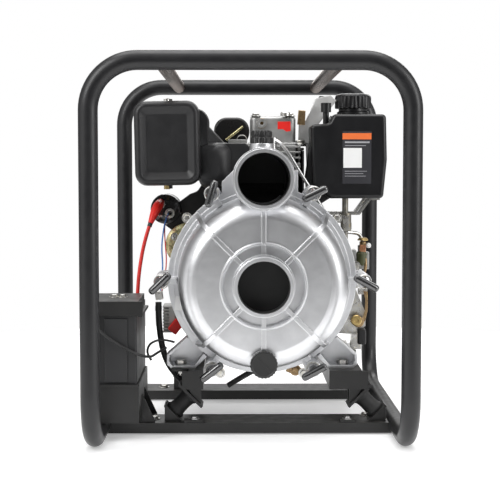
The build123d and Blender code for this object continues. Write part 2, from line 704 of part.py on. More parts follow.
with BuildPart() as drain_cap:
    seat = COVER_FACE_Y - 0.8
    turned(((0, seat), (20.5, seat), (20.5, seat - 13), (18, seat - 17), (0, seat - 17)), AXIS_X, DRAIN_Z)
    rod((AXIS_X, seat, DRAIN_Z), (AXIS_X, seat + 14, DRAIN_Z), 12.7)
save(drain_cap, "drain_cap")

with BuildPart() as pump_adapter:
    turned(((30, CASING_BACK_Y), (100, CASING_BACK_Y), (100, -50), (78, -44), (84, -28), (30, -28)))
    turned(((0, -50), (60, -50), (60, -36), (0, -36)), mode=Mode.SUBTRACT)
    rod((AXIS_X, -60, AXIS_Z), (AXIS_X, -20, AXIS_Z), 26, mode=Mode.SUBTRACT)
save(pump_adapter, "pump_adapter")

# ---- engine block -------------------------------------------------------------------------------
JOURNAL_R = 15

with BuildPart() as crankcase:
    slab(CASE_X, CASE_Y, CASE_Z)
    fillet(crankcase.edges().filter_by(Axis.Y), 12)
    slab((-98, 178), (-5, 95), (RAIL_TOP_Z, CASE_Z[0] + 1))
    slab(
        (CASE_X[0] + CASE_WALL, CASE_X[1] - CASE_WALL),
        (CASE_Y[0] + CASE_WALL, CASE_Y[1] - CASE_WALL),
        (CASE_Z[0] + CASE_WALL, CASE_Z[1] - CASE_WALL),
        mode=Mode.SUBTRACT,
    )
    for start, end in ((CASE_Y[0] + CASE_WALL, -4), (CASE_Y[1] - CASE_WALL - 1, CASE_Y[1] - CASE_WALL)):
        rod((AXIS_X, start, AXIS_Z), (AXIS_X, end, AXIS_Z), 30)
    bore_x = (AXIS_X, CASE_Y[0] - 1, AXIS_Z)
    rod(bore_x, (AXIS_X, CASE_Y[1] + 1, AXIS_Z), JOURNAL_R + RUNNING, mode=Mode.SUBTRACT)
    rod((CYLINDER_X, CYLINDER_Y, 310), (CYLINDER_X, CYLINDER_Y, 330), 46, mode=Mode.SUBTRACT)
    cam_x = AXIS_X + 1.5 * GEAR_MODULE * CRANK_GEAR_TEETH * cos(radians(CAM_ANGLE))
    cam_z = AXIS_Z + 1.5 * GEAR_MODULE * CRANK_GEAR_TEETH * sin(radians(CAM_ANGLE))
    rod((cam_x, CASE_Y[0] + 3, cam_z), (cam_x, CASE_Y[1] - 3, cam_z), 8 + RUNNING, mode=Mode.SUBTRACT)
    for x, y in ENGINE_BOLTS:
        rod((x, y, 90), (x, y, 120), STUD_R + 0.5, mode=Mode.SUBTRACT)
save(crankcase, "crankcase")

CRANK_GEAR_Y = (89, 97)

with BuildPart() as crankshaft:
    turned(
        ((0, -140), (10, -140), (10, -131), (SHAFT_SEAT_R, -130), (SHAFT_SEAT_R, -30), (JOURNAL_R, -30),
         (JOURNAL_R, 15), (48, 15), (48, 30), (0, 30))
    )
    turned(
        ((0, 70), (48, 70), (48, 85), (JOURNAL_R, 85), (JOURNAL_R, 120), (13, 146), (10.5, 186), (0, 186)),
    )
    rod((AXIS_X, 28, AXIS_Z + THROW), (AXIS_X, 72, AXIS_Z + THROW), 16)
    gear(CRANK_GEAR_TEETH, AXIS_X, AXIS_Z, CRANK_GEAR_Y, CAM_ANGLE)
save(crankshaft, "crankshaft")

with BuildPart() as camshaft:
    rod((cam_x, CASE_Y[0] + 3.5, cam_z), (cam_x, CASE_Y[1] - 3.5, cam_z), 8)
    gear(CAM_GEAR_TEETH, cam_x, cam_z, CRANK_GEAR_Y, CAM_ANGLE + 180 + 180 / CAM_GEAR_TEETH)
    for lobe_y, lobe_angle in ((34, 60), (52, 170)):
        nose_x = cam_x + 4 * cos(radians(lobe_angle))
        nose_z = cam_z + 4 * sin(radians(lobe_angle))
        rod((nose_x, lobe_y, nose_z), (nose_x, lobe_y + 9, nose_z), 8.5)
save(camshaft, "camshaft")

PISTON_TOP_Z = HEAD_Z[0] - 1

with BuildPart() as piston:
    skirt_z = PISTON_TOP_Z - 59
    upright(
        ((0, PISTON_TOP_Z), (BORE_R - RUNNING, PISTON_TOP_Z), (BORE_R - RUNNING, skirt_z), (0, skirt_z)),
        CYLINDER_X,
        CYLINDER_Y,
    )
    upright(
        ((0, skirt_z - 1), (33, skirt_z - 1), (33, PISTON_TOP_Z - 12), (0, PISTON_TOP_Z - 12)),
        CYLINDER_X,
        CYLINDER_Y,
        mode=Mode.SUBTRACT,
    )
    pin_z = PISTON_TOP_Z - 34
    rod((CYLINDER_X, CYLINDER_Y - 36, pin_z), (CYLINDER_X, CYLINDER_Y + 36, pin_z), 10)
    for ring in range(3):
        ring_z = PISTON_TOP_Z - 6 - 6 * ring
        upright(
            (
                (BORE_R - 2, ring_z),
                (BORE_R + 1, ring_z),
                (BORE_R + 1, ring_z - 2),
                (BORE_R - 2, ring_z - 2),
            ),
            CYLINDER_X,
            CYLINDER_Y,
            mode=Mode.SUBTRACT,
        )
save(piston, "piston")

with BuildPart() as cylinder:
    rod((CYLINDER_X, CYLINDER_Y, 317), (CYLINDER_X, CYLINDER_Y, HEAD_Z[0]), 45.9)
    for fin in range(8):
        fin_z = 334 + 10 * fin
        slab((-34, 76), (-2, 102), (fin_z, fin_z + 2.5))
    slab((-34, 76), (2, 98), (HEAD_Z[0] - 6, HEAD_Z[0]))
    slab((-30, 70), (4, 96), (CASE_Z[1], CASE_Z[1] + 5))
    rod((CYLINDER_X, CYLINDER_Y, 310), (CYLINDER_X, CYLINDER_Y, 420), BORE_R, mode=Mode.SUBTRACT)
    fillet(cylinder.edges().filter_by(Axis.Z).group_by(SortBy.LENGTH)[0], 5)
save(cylinder, "cylinder")

with BuildPart() as cylinder_head:
    slab((HEAD_X[0] + 8, HEAD_X[1] - 8), (HEAD_Y[0] + 8, HEAD_Y[1] - 8), HEAD_Z)
    slab(HEAD_X, HEAD_Y, (HEAD_Z[0], HEAD_Z[0] + 8))
    for fin in range(3):
        fin_z = HEAD_Z[0] + 15 + 9 * fin
        slab(HEAD_X, HEAD_Y, (fin_z, fin_z + 3))
    slab((26, 50), (-18, 10), (HEAD_Z[0], 430))
    slab((-34, -2), (80, SHROUD_Y[0] - 0.5), (HEAD_Z[0], 460))
    slab((-34, -2), (80, SHROUD_Y[0] + 2), (447, 460))
    slab((HEAD_X[0], 10), (22, 78), (HEAD_Z[0], HEAD_Z[1]))
    slab((0, 80), (10, 90), (HEAD_Z[1] - 1, HEAD_Z[1] + 2))
save(cylinder_head, "cylinder_head")

COVER_X = (2.5, 77.5)
COVER_Y = (12, 88)
LEVER_X = 21.5
LEVER_Z = 485

with BuildPart() as rocker_cover:
    slab(COVER_X, COVER_Y, (HEAD_Z[1] + 2, 497))
    fillet(rocker_cover.edges().filter_by(Axis.Z), 9)
    fillet(rocker_cover.faces().sort_by(Axis.Z)[-1].edges(), 6)
    slab(
        (COVER_X[0] + 4, COVER_X[1] - 4),
        (COVER_Y[0] + 4, COVER_Y[1] - 4),
        (HEAD_Z[1] + 1, 490),
        mode=Mode.SUBTRACT,
    )
    rod((LEVER_X, COVER_Y[0] + 8, LEVER_Z), (LEVER_X, COVER_Y[0] - 5, LEVER_Z), 8)
    rod(
        (LEVER_X, COVER_Y[0] + 9, LEVER_Z),
        (LEVER_X, COVER_Y[0] - 6, LEVER_Z),
        3 + RUNNING,
        mode=Mode.SUBTRACT,
    )
save(rocker_cover, "rocker_cover")

with BuildPart() as decompression_lever:
    front_y = COVER_Y[0] - 5.3
    rod((LEVER_X, COVER_Y[0] + 6, LEVER_Z), (LEVER_X, front_y - 3, LEVER_Z), 3)
    rod((LEVER_X, front_y, LEVER_Z), (LEVER_X, front_y - 4, LEVER_Z), 7.5)
    arm = (
        (LEVER_X, LEVER_Z + 4),
        (LEVER_X + 26, LEVER_Z),
        (LEVER_X + 26, LEVER_Z - 9),
        (LEVER_X, LEVER_Z - 5),
    )
    plate(arm, (front_y - 3, front_y))
    slab((LEVER_X + 24, LEVER_X + 45), (front_y - 6, front_y + 1), (LEVER_Z - 14, LEVER_Z + 3))
save(decompression_lever, "decompression_lever")

# ---- cooling, starting and exhaust --------------------------------------------------------------
with BuildPart() as flywheel:
    turned(
        (
            (14, FLYWHEEL_Y),
            (118, FLYWHEEL_Y),
            (118, FLYWHEEL_Y + 10),
            (112, FLYWHEEL_Y + 12),
            (112, FLYWHEEL_Y + 26),
            (96, FLYWHEEL_Y + 26),
            (96, FLYWHEEL_Y + 10),
            (28, FLYWHEEL_Y + 10),
            (28, FLYWHEEL_Y + 30),
            (14, FLYWHEEL_Y + 30),
        )
    )
    for number in range(14):
        with Locations(Location((AXIS_X, 0, AXIS_Z), (0, 360 / 14 * number, 0))):
            with Locations(Location((76, FLYWHEEL_Y + 20, 0), (0, 35, 0))):
                Box(38, 22, 3)
    turned(
        ((0, FLYWHEEL_Y - 1), (13.5, FLYWHEEL_Y - 1), (11, FLYWHEEL_Y + 31), (0, FLYWHEEL_Y + 31)),
        mode=Mode.SUBTRACT,
    )
save(flywheel, "flywheel")

SHROUD = (
    (-60, 112), (100, 112), (146, 160), (146, 300), (100, 352), (92, 382),
    (88, 444), (-40, 444), (-62, 392), (-128, 318), (-128, 250), (-106, 160),
)
STARTER_X, STARTER_Z, STARTER_R = -102, 283, 37

with BuildPart() as fan_shroud:
    plate(SHROUD, SHROUD_Y, corner=8)
    with BuildSketch(facing(SHROUD_Y[1] - 2.5)) as room:
        with BuildLine():
            Polyline(SHROUD, close=True)
        make_face()
        fillet(room.vertices(), 8)
        offset(amount=-2.5, mode=Mode.REPLACE)
    extrude(amount=SHROUD_Y[1] - SHROUD_Y[0] - 5, mode=Mode.SUBTRACT)
    rod((AXIS_X, 105, AXIS_Z), (AXIS_X, 120, AXIS_Z), 60, mode=Mode.SUBTRACT)
    rod((AXIS_X, 190, AXIS_Z), (AXIS_X, 200, AXIS_Z), 84, mode=Mode.SUBTRACT)
    rod((STARTER_X, 105, STARTER_Z), (STARTER_X, 120, STARTER_Z), 20.5, mode=Mode.SUBTRACT)
    slab((-34, 80), (105, 120), (330, 436), mode=Mode.SUBTRACT)
    # Side deflector that keeps the air on the cylinder's right side.
    slab((88, 90.5), (-5, SHROUD_Y[0] + 2), (332, 440))
save(fan_shroud, "fan_shroud")

ROPE_RADIUS_ON_PULLEY = 43
PULL_ANGLE = radians(52)
PULL_X, PULL_Z = cos(PULL_ANGLE), sin(PULL_ANGLE)


def pull_point(distance):
    """A point on the rope's line, measured from where the rope leaves the pulley."""
    leave_x = AXIS_X - ROPE_RADIUS_ON_PULLEY * PULL_Z
    leave_z = AXIS_Z + ROPE_RADIUS_ON_PULLEY * PULL_X
    return (leave_x + distance * PULL_X, RECOIL_Y + 22, leave_z + distance * PULL_Z)


with BuildPart() as recoil_housing:
    back_y = RECOIL_Y + 40
    turned(
        (
            (0, RECOIL_Y),
            (100, RECOIL_Y),
            (100, RECOIL_Y + 6),
            (92, RECOIL_Y + 8),
            (78, back_y),
            (0, back_y),
        ),
    )
    turned(((0, RECOIL_Y - 1), (89, RECOIL_Y - 1), (75, back_y - 3), (0, back_y - 3)), mode=Mode.SUBTRACT)
    rod((AXIS_X, back_y - 1, AXIS_Z), (AXIS_X, RECOIL_Y + 8, AXIS_Z), 9)
    for number in range(12):
        with Locations(Location((AXIS_X, back_y, AXIS_Z), (0, 30 * number, 0))):
            with Locations((54, 0, 0)):
                Box(30, 12, 7, mode=Mode.SUBTRACT)
    # Rope guide at the upper right, aimed where the operator pulls.
    rod(pull_point(66), pull_point(98), 10)
    rod(pull_point(50), pull_point(99), 4, mode=Mode.SUBTRACT)
save(recoil_housing, "recoil_housing")

with BuildPart() as recoil_pulley:
    groove = RECOIL_Y + 15
    turned(
        ((9 + RUNNING, groove), (46, groove), (46, groove + 3), (40, groove + 5), (40, groove + 9),
         (46, groove + 11), (46, groove + 14), (9 + RUNNING, groove + 14))
    )
save(recoil_pulley, "recoil_pulley")

with BuildPart() as recoil_handle:
    rod(pull_point(99), pull_point(108), 8)
    grip = Vector(-PULL_Z, 0, PULL_X) * 38
    middle = Vector(pull_point(112))
    rod(middle - grip, middle + grip, 9)
    rod(pull_point(78), pull_point(100), 2.2)
save(recoil_handle, "recoil_handle")

with BuildPart() as starter_motor:
    turned(((0, 36), (30, 36), (STARTER_R, 42), (STARTER_R, 106), (0, 106)), STARTER_X, STARTER_Z)
    turned(((0, 100), (20, 100), (20, 140), (14, 146), (0, 146)), STARTER_X, STARTER_Z)
    turned(((0, 44), (22, 44), (25, 48), (25, 106), (0, 106)), -139, 343)
    plate(((-150, 322), (-120, 300), (-96, 318), (-128, 346)), (60, 104))
    for post_x, post_z in ((-148, 352), (-132, 336)):
        rod((post_x, 44, post_z), (post_x, 30, post_z), 4)
save(starter_motor, "starter_motor")

with BuildPart() as muffler:
    with BuildSketch(facing(228)):
        with Locations((-28.5, 475)):
            RectangleRounded(61, 48, 22)
    extrude(amount=116)
    fillet(muffler.faces().sort_by(Axis.Y)[0].edges(), 5)
    fillet(muffler.faces().sort_by(Axis.Y)[-1].edges(), 5)
    rod((-28, 226, 470), (-28, 246, 470), 11)
    rod((-28, 224, 470), (-28, 247, 470), 9, mode=Mode.SUBTRACT)
save(muffler, "muffler")

# ---- air cleaner --------------------------------------------------------------------------------
AIR_X = (-184, -78)
AIR_Z = (383, 519)
AIR_FRONT_Y = -60
AIR_SPLIT_Y = -30
AIR_BACK_Y = 42
AIR_CORNER_R = 20


def air_box(y, shrink=0, mode=Mode.ADD):
    """The air cleaner's round-cornered section over a depth range."""
    with BuildSketch(facing(y[1], (AIR_X[0] + AIR_X[1]) / 2, (AIR_Z[0] + AIR_Z[1]) / 2)) as section:
        with Locations(Rotation(0, 0, -1.2)):
            width = AIR_X[1] - AIR_X[0] - 2 * shrink
            height = AIR_Z[1] - AIR_Z[0] - 2 * shrink
            RectangleRounded(width, height, AIR_CORNER_R - shrink)
    extrude(section.sketch, amount=y[1] - y[0], mode=mode)


with BuildPart() as air_cleaner_cover:
    air_box((AIR_FRONT_Y, AIR_SPLIT_Y))
    fillet(air_cleaner_cover.faces().sort_by(Axis.Y)[0].edges(), 7)
    air_box((AIR_FRONT_Y + 5, AIR_SPLIT_Y + 1), shrink=3, mode=Mode.SUBTRACT)
    air_box((AIR_FRONT_Y - 1, AIR_FRONT_Y + 2.5), shrink=15, mode=Mode.SUBTRACT)
save(air_cleaner_cover, "air_cleaner_cover")

with BuildPart() as air_cleaner_base:
    air_box((AIR_SPLIT_Y + 0.5, AIR_BACK_Y), shrink=2)
    duct_start = Plane(origin=(-86, 5, 446), x_dir=(0, 1, 0), z_dir=(1, 0, 0))
    duct_end = Plane(origin=(HEAD_X[0] - 0.5, 50, 426), x_dir=(0, 1, 0), z_dir=(1, 0, 0))
    with BuildSketch(duct_start):
        RectangleRounded(60, 112, 10)
    with BuildSketch(duct_end):
        RectangleRounded(54, 46, 8)
    loft()
    air_box((AIR_SPLIT_Y - 1, AIR_BACK_Y - 3), shrink=5, mode=Mode.SUBTRACT)
    for z0, z1 in ((AIR_Z[1] - 3, AIR_Z[1] + 5), (AIR_Z[0] - 5, AIR_Z[0] + 3)):
        rod((-129, 0, z0), (-129, 0, z1), 4)
save(air_cleaner_base, "air_cleaner_base")

with BuildPart() as air_filter:
    slab((-168, -94), (-26, 34), (398, 504))
    fillet(air_filter.edges().filter_by(Axis.Y), 8)
    slab((-156, -106), (-20, 35), (410, 492), mode=Mode.SUBTRACT)
save(air_filter, "air_filter")

# ---- fuel system --------------------------------------------------------------------------------
TANK_Y = (-20, 150)
TANK = ((104, 384), (132, 362), (219, 362), (225, 425), (223, 499), (138, 499), (130, 484), (100, 482))
TANK_CAP_X, TANK_CAP_Y = 176, 60

with BuildPart() as fuel_tank:
    plate(TANK, TANK_Y, corner=7)
    fillet(fuel_tank.faces().sort_by(Axis.Y)[0].edges(), 6)
    with BuildSketch(facing(TANK_Y[1] - 4)) as fuel_room:
        with BuildLine():
            Polyline(TANK, close=True)
        make_face()
        fillet(fuel_room.vertices(), 7)
        offset(amount=-4, mode=Mode.REPLACE)
    extrude(amount=TANK_Y[1] - TANK_Y[0] - 8, mode=Mode.SUBTRACT)
    rod((TANK_CAP_X, TANK_CAP_Y, 496), (TANK_CAP_X, TANK_CAP_Y, 511), 24)
    rod((TANK_CAP_X, TANK_CAP_Y, 490), (TANK_CAP_X, TANK_CAP_Y, 512), 20, mode=Mode.SUBTRACT)
    # Breather knob beside the filler.
    rod((128, 24, 480), (128, 24, 504), 5)
    rod((128, 24, 504), (128, 24, 519), 8.5)
save(fuel_tank, "fuel_tank")

with BuildPart() as tank_cap:
    upright(
        ((0, 500), (19.6, 500), (19.6, 511.3), (30.5, 511.3), (30.5, 530), (27, 536), (0, 536)),
        TANK_CAP_X,
        TANK_CAP_Y,
    )
save(tank_cap, "tank_cap")

with BuildPart() as tank_bracket:
    strap = (
        (78, 325), (100, 325), (112, 334.5), (183, 334.5), (201, 359), (216, 359),
        (216, 362), (199, 362), (181, 337.5), (111, 337.5), (99, 328), (78, 328),
    )
    for near_y in (4, 72):
        plate(strap, (near_y, near_y + 30))
save(tank_bracket, "tank_bracket")

TAP_X, TAP_Y = 158, -6

with BuildPart() as fuel_tap:
    rod((TAP_X, TAP_Y, 362), (TAP_X, TAP_Y, 338), 5)
    rod((TAP_X, TAP_Y, 338), (TAP_X, TAP_Y, 322), 10)
    rod((TAP_X, TAP_Y, 322), (TAP_X, TAP_Y, 308), 7.5)
    rod((TAP_X, TAP_Y, 308), (TAP_X, TAP_Y, 296), 4.5)
    rod((TAP_X, TAP_Y - 12, 330), (TAP_X, TAP_Y, 330), 5)
    rod((TAP_X, TAP_Y - 13, 330), (TAP_X, TAP_Y - 2, 330), 2.5 + RUNNING, mode=Mode.SUBTRACT)
save(fuel_tap, "fuel_tap")

with BuildPart() as fuel_tap_lever:
    rod((TAP_X, TAP_Y - 4, 330), (TAP_X, TAP_Y - 14, 330), 2.5)
    handle = ((TAP_X - 5, 334), (TAP_X - 4, 308), (TAP_X + 4, 308), (TAP_X + 5, 334))
    plate(handle, (TAP_Y - 16.3, TAP_Y - 12.3))
save(fuel_tap_lever, "fuel_tap_lever")

PUMP_X, PUMP_Y = 189, 26

with BuildPart() as injection_pump:
    slab((CASE_X[1], 178), (6, 46), (222, 276))
    slab((176, 200), (14, 38), (244, 272))
    rod((PUMP_X, PUMP_Y, 270), (PUMP_X, PUMP_Y, 283), 7)
    rod((165, 12, 262), (165, 0, 262), 4.5)
save(injection_pump, "injection_pump")

PIPE_ROUTE = (
    (41, -13, 458),
    (50, -19, 453),
    (64, -25, 436),
    (81, -27, 407),
    (99, -27, 379),
    (119, -22, 347),
    (136, -2, 319),
    (160, 16, 306),
    (183, 24, 303),
    (189.5, 26, 294),
    (189, 26, 284),
)

with BuildPart() as injector_pipe:
    hose(PIPE_ROUTE, bend_radii(PIPE_ROUTE), 3)
    rod((38, -10, 430), (38, -10, 461), 8.5)
save(injector_pipe, "injector_pipe")

with BuildPart() as fuel_hose:
    hose(
        (
            (TAP_X, TAP_Y, 295.8),
            (TAP_X + 0.5, TAP_Y, 280),
            (161, -11, 268),
            (165, -8, 262),
            (165, -0.2, 262),
        ),
        (12, 9, 6),
        4.2,
    )
save(fuel_hose, "fuel_hose")

# ---- controls -----------------------------------------------------------------------------------
SPEED_X, SPEED_Z = 181, 158

with BuildPart() as control_bracket:
    plate(((CASE_X[1], 140), (176, 136), (194, 150), (194, 172), (176, 214), (CASE_X[1], 214)), (8, 11))
    slab((CASE_X[1], CASE_X[1] + 3), (8, 40), (140, 214))
    slab((170, 186), (2, 30), (112, 138))
    rod((SPEED_X, 11, SPEED_Z), (SPEED_X, -2, SPEED_Z), 4)
save(control_bracket, "control_bracket")

with BuildPart() as speed_lever:
    rod((SPEED_X, 7.5, SPEED_Z), (SPEED_X, 0, SPEED_Z), 8.5)
    arm = (
        (SPEED_X - 6, SPEED_Z),
        (SPEED_X + 6, SPEED_Z),
        (SPEED_X + 12, SPEED_Z + 52),
        (SPEED_X + 3, SPEED_Z + 52),
    )
    plate(arm, (3, 7))
    rod((SPEED_X + 7.5, 7, SPEED_Z + 48), (SPEED_X + 7.5, -10, SPEED_Z + 48), 6)
    rod((SPEED_X, 12, SPEED_Z), (SPEED_X, -3, SPEED_Z), 4 + RUNNING, mode=Mode.SUBTRACT)
save(speed_lever, "speed_lever")

# ---- electrics ----------------------------------------------------------------------------------
with BuildPart() as voltage_regulator:
    slab((-132, -122), (0, 50), (140, 184))
    for fin in range(9):
        slab((-142, -131), (0, 50), (140 + 5.2 * fin, 142.4 + 5.2 * fin))
    slab((-123, CASE_X[0]), (22, 26), (150, 176))
save(voltage_regulator, "voltage_regulator")

CABLE_ROUTE = (
    (-148, 29.7, 352),
    (-149.5, 15, 350.5),
    (-152.5, 2, 344.5),
    (-157, -8, 333.5),
    (-162, -14, 319),
    (-168, -18, 299),
    (-173.5, -21, 276),
    (-177.5, -25, 251),
    (-180, -29.5, 227),
    (-181, -33, 204.7),
)
HARNESS_ROUTE = (
    (-146, -48, 196),
    (-146, -49, 172),
    (-144, -50, 148),
    (-140, -50, 122),
    (-133, -49, 100),
    (-122, -47.5, 82),
    (-108, -45, 66),
)
GROUND_ROUTE = (
    (-229, -40.3, 200.4),
    (-230, -58, 200.4),
    (-232, -85, 200.6),
    (-233.5, -120, 201),
    (-234, -150, 201.3),
    (-234, -170, 201.7),
    (-234.5, -184, 201.7),
    (-234.5, -194, 198.5),
    (-233.5, -201.5, 191.5),
    (-231, -205, 181.5),
    (-224, -205.5, 169),
    (-208, -204, 155.5),
    (-190, -201, 144),
    (-172, -200.5, 134.5),
    (-157, -189, 128),
    (-150, -169, 125),
    (-147, -147, 124.5),
    (-141, -127, 126.5),
    (-131, -108, 130),
)
BLUE_ROUTE = (
    (-134, 29.5, 336),
    (-137, 12, 328),
    (-141, -2, 306),
    (-143, -12, 280),
    (-140, -24, 252),
    (-142, -36, 224),
    (-144.5, -44, 199),
)

for label, route, radius in (
    ("battery_cable", CABLE_ROUTE, 3),
    ("wiring_harness", HARNESS_ROUTE, 5),
    ("ground_cable", GROUND_ROUTE, 2),
    ("control_wire", BLUE_ROUTE, 1.2),
):
    arcs = bend_radii(route)
    print(label, "bend radii", [round(arc, 1) for arc in arcs])
    with BuildPart() as cord:
        hose(route, arcs, radius)
    save(cord, label)
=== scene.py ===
import json
from math import cos, pi, radians, sin

import bmesh
import bpy
from mathutils import Matrix, Vector


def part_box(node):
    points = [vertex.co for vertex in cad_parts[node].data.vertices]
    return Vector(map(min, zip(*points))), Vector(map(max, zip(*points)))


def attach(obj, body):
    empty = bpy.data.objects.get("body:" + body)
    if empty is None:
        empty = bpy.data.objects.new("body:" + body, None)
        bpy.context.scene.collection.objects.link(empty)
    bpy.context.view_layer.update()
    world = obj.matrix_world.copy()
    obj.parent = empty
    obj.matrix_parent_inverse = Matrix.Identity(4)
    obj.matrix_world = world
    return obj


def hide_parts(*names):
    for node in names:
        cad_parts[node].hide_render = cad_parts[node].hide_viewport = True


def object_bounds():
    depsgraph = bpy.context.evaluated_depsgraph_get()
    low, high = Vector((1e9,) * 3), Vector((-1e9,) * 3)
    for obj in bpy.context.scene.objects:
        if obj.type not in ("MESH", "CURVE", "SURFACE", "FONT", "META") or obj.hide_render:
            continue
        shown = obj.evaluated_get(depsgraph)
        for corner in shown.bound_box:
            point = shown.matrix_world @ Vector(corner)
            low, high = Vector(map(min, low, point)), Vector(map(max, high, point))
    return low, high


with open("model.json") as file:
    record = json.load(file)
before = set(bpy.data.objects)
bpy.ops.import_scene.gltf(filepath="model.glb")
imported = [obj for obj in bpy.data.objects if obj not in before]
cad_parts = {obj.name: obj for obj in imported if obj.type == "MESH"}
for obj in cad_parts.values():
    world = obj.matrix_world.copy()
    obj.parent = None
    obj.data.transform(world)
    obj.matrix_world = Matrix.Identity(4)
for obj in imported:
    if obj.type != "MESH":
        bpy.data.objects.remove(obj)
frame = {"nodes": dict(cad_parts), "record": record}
CAD_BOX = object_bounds()
NODES = frame["nodes"]
MM = 0.001
FIXED = "pump_set"
MOUNTS = {mount["name"]: Vector(mount["pos_m"]) for mount in frame["record"]["mounts"]}
AXIS = MOUNTS["suction_port"]
DISCHARGE = MOUNTS["discharge_port"]

# ---- camera, at the photograph's viewing angle ---------------------------------------------------
LENS_MM, SENSOR_MM = 90.6, 36
CAMERA_PLACE = (-0.01957, -2.06865, 0.4065)
CAMERA_DOWN, CAMERA_TURN = 3.587, -0.5965
camera_data = bpy.data.cameras.new("camera")
camera_data.lens = LENS_MM
camera_data.sensor_width = SENSOR_MM
camera = bpy.data.objects.new("camera", camera_data)
camera.location = CAMERA_PLACE
camera.rotation_euler = (radians(90 - CAMERA_DOWN), 0, radians(CAMERA_TURN))
bpy.context.scene.collection.objects.link(camera)
bpy.context.scene.camera = camera


# ---- materials -----------------------------------------------------------------------------------
class Surface:
    """A procedural material: one Principled shader, with helpers that add its texture nodes."""

    def __init__(self, name, roughness, metallic=0.0, **settings):
        self.material = bpy.data.materials.new(name)
        self.material.use_nodes = True
        self.nodes = self.material.node_tree.nodes
        self.links = self.material.node_tree.links
        self.shader = self.nodes["Principled BSDF"]
        self.shader.inputs["Roughness"].default_value = roughness
        self.shader.inputs["Metallic"].default_value = metallic
        for socket, value in settings.items():
            self.shader.inputs[socket.replace("_", " ")].default_value = value
        self.place = self.nodes.new("ShaderNodeTexCoord").outputs["Object"]
        self.normal = None

    def node(self, kind, **values):
        made = self.nodes.new(kind)
        for name, value in values.items():
            setattr(made, name, value)
        return made

    def noise(self, scale, detail=3.0, roughness=0.55, stretch=(1, 1, 1)):
        """Noise of that many waves a metre, stretched by axis."""
        mapping = self.node("ShaderNodeMapping")
        mapping.inputs["Scale"].default_value = stretch
        self.links.new(self.place, mapping.inputs["Vector"])
        texture = self.node("ShaderNodeTexNoise")
        texture.inputs["Scale"].default_value = scale
        texture.inputs["Detail"].default_value = detail
        texture.inputs["Roughness"].default_value = roughness
        self.links.new(mapping.outputs["Vector"], texture.inputs["Vector"])
        return texture.outputs["Fac"]

    def grain(self, scale):
        """A pebbled moulding grain."""
        texture = self.node("ShaderNodeTexVoronoi", feature="SMOOTH_F1")
        texture.inputs["Scale"].default_value = scale
        self.links.new(self.place, texture.inputs["Vector"])
        return texture.outputs["Distance"]

    def remap(self, factor, start, end, low=0.0, high=1.0):
        spread = self.node("ShaderNodeMapRange")
        for socket, value in (("From Min", start), ("From Max", end), ("To Min", low), ("To Max", high)):
            spread.inputs[socket].default_value = value
        self.links.new(factor, spread.inputs["Value"])
        return spread.outputs["Result"]

    def upward(self, start=0.6):
        """1 where the surface faces up, for settled dust."""
        split = self.node("ShaderNodeSeparateXYZ")
        self.links.new(self.node("ShaderNodeNewGeometry").outputs["Normal"], split.inputs[0])
        return self.remap(split.outputs["Z"], start, 1.0)

    def edges(self, width, start=0.02, end=0.25):
        """1 along sharp edges: where the surface's normal differs from its rounded one."""
        bevel = self.node("ShaderNodeBevel", samples=4)
        bevel.inputs["Radius"].default_value = width
        dot = self.node("ShaderNodeVectorMath", operation="DOT_PRODUCT")
        self.links.new(bevel.outputs["Normal"], dot.inputs[0])
        self.links.new(self.node("ShaderNodeNewGeometry").outputs["Normal"], dot.inputs[1])
        return self.remap(dot.outputs["Value"], 1.0 - start, 1.0 - end)

    def times(self, first, second):
        product = self.node("ShaderNodeMath", operation="MULTIPLY")
        for socket, value in zip(product.inputs, (first, second)):
            if isinstance(value, (int, float)):
                socket.default_value = value
            else:
                self.links.new(value, socket)
        return product.outputs[0]

    def mixed(self, factor, low, high):
        """A number between a node's output and a plain value."""
        mix = self.node("ShaderNodeMix", data_type="FLOAT")
        self.links.new(factor, mix.inputs[0])
        self.links.new(low, mix.inputs[2])
        mix.inputs[3].default_value = high
        return mix.outputs[0]

    def blend(self, factor, low, high):
        """A colour between two, each a colour or another node's output."""
        mix = self.node("ShaderNodeMix", data_type="RGBA")
        self.links.new(factor, mix.inputs[0])
        for socket, value in ((mix.inputs[6], low), (mix.inputs[7], high)):
            if isinstance(value, (tuple, list)):
                socket.default_value = (*value, 1)
            else:
                self.links.new(value, socket)
        return mix.outputs[2]

    def rounded(self, radius):
        """Shades edges as though they were rounded to that radius."""
        bevel = self.node("ShaderNodeBevel", samples=6)
        bevel.inputs["Radius"].default_value = radius
        self.normal = bevel.outputs["Normal"]
        self.links.new(self.normal, self.shader.inputs["Normal"])

    def along_y(self, start, end):
        """0 before one Y and 1 beyond another, in metres."""
        split = self.node("ShaderNodeSeparateXYZ")
        self.links.new(self.place, split.inputs[0])
        return self.remap(split.outputs["Y"], start, end)

    def near_axis(self, centre, radius):
        """1 within a radius of a line that runs along Y through a point."""
        flat = self.node("ShaderNodeVectorMath", operation="MULTIPLY_ADD")
        flat.inputs[1].default_value = (1, 0, 1)
        flat.inputs[2].default_value = (-centre.x, 0, -centre.z)
        self.links.new(self.place, flat.inputs[0])
        length = self.node("ShaderNodeVectorMath", operation="LENGTH")
        self.links.new(flat.outputs[0], length.inputs[0])
        return self.remap(length.outputs["Value"], radius, radius + 0.0004, 1.0, 0.0)

    def either(self, first, second):
        larger = self.node("ShaderNodeMath", operation="MAXIMUM")
        self.links.new(first, larger.inputs[0])
        self.links.new(second, larger.inputs[1])
        return larger.outputs[0]

    def colour(self, output):
        self.links.new(output, self.shader.inputs["Base Color"])

    def rough(self, output):
        self.links.new(output, self.shader.inputs["Roughness"])

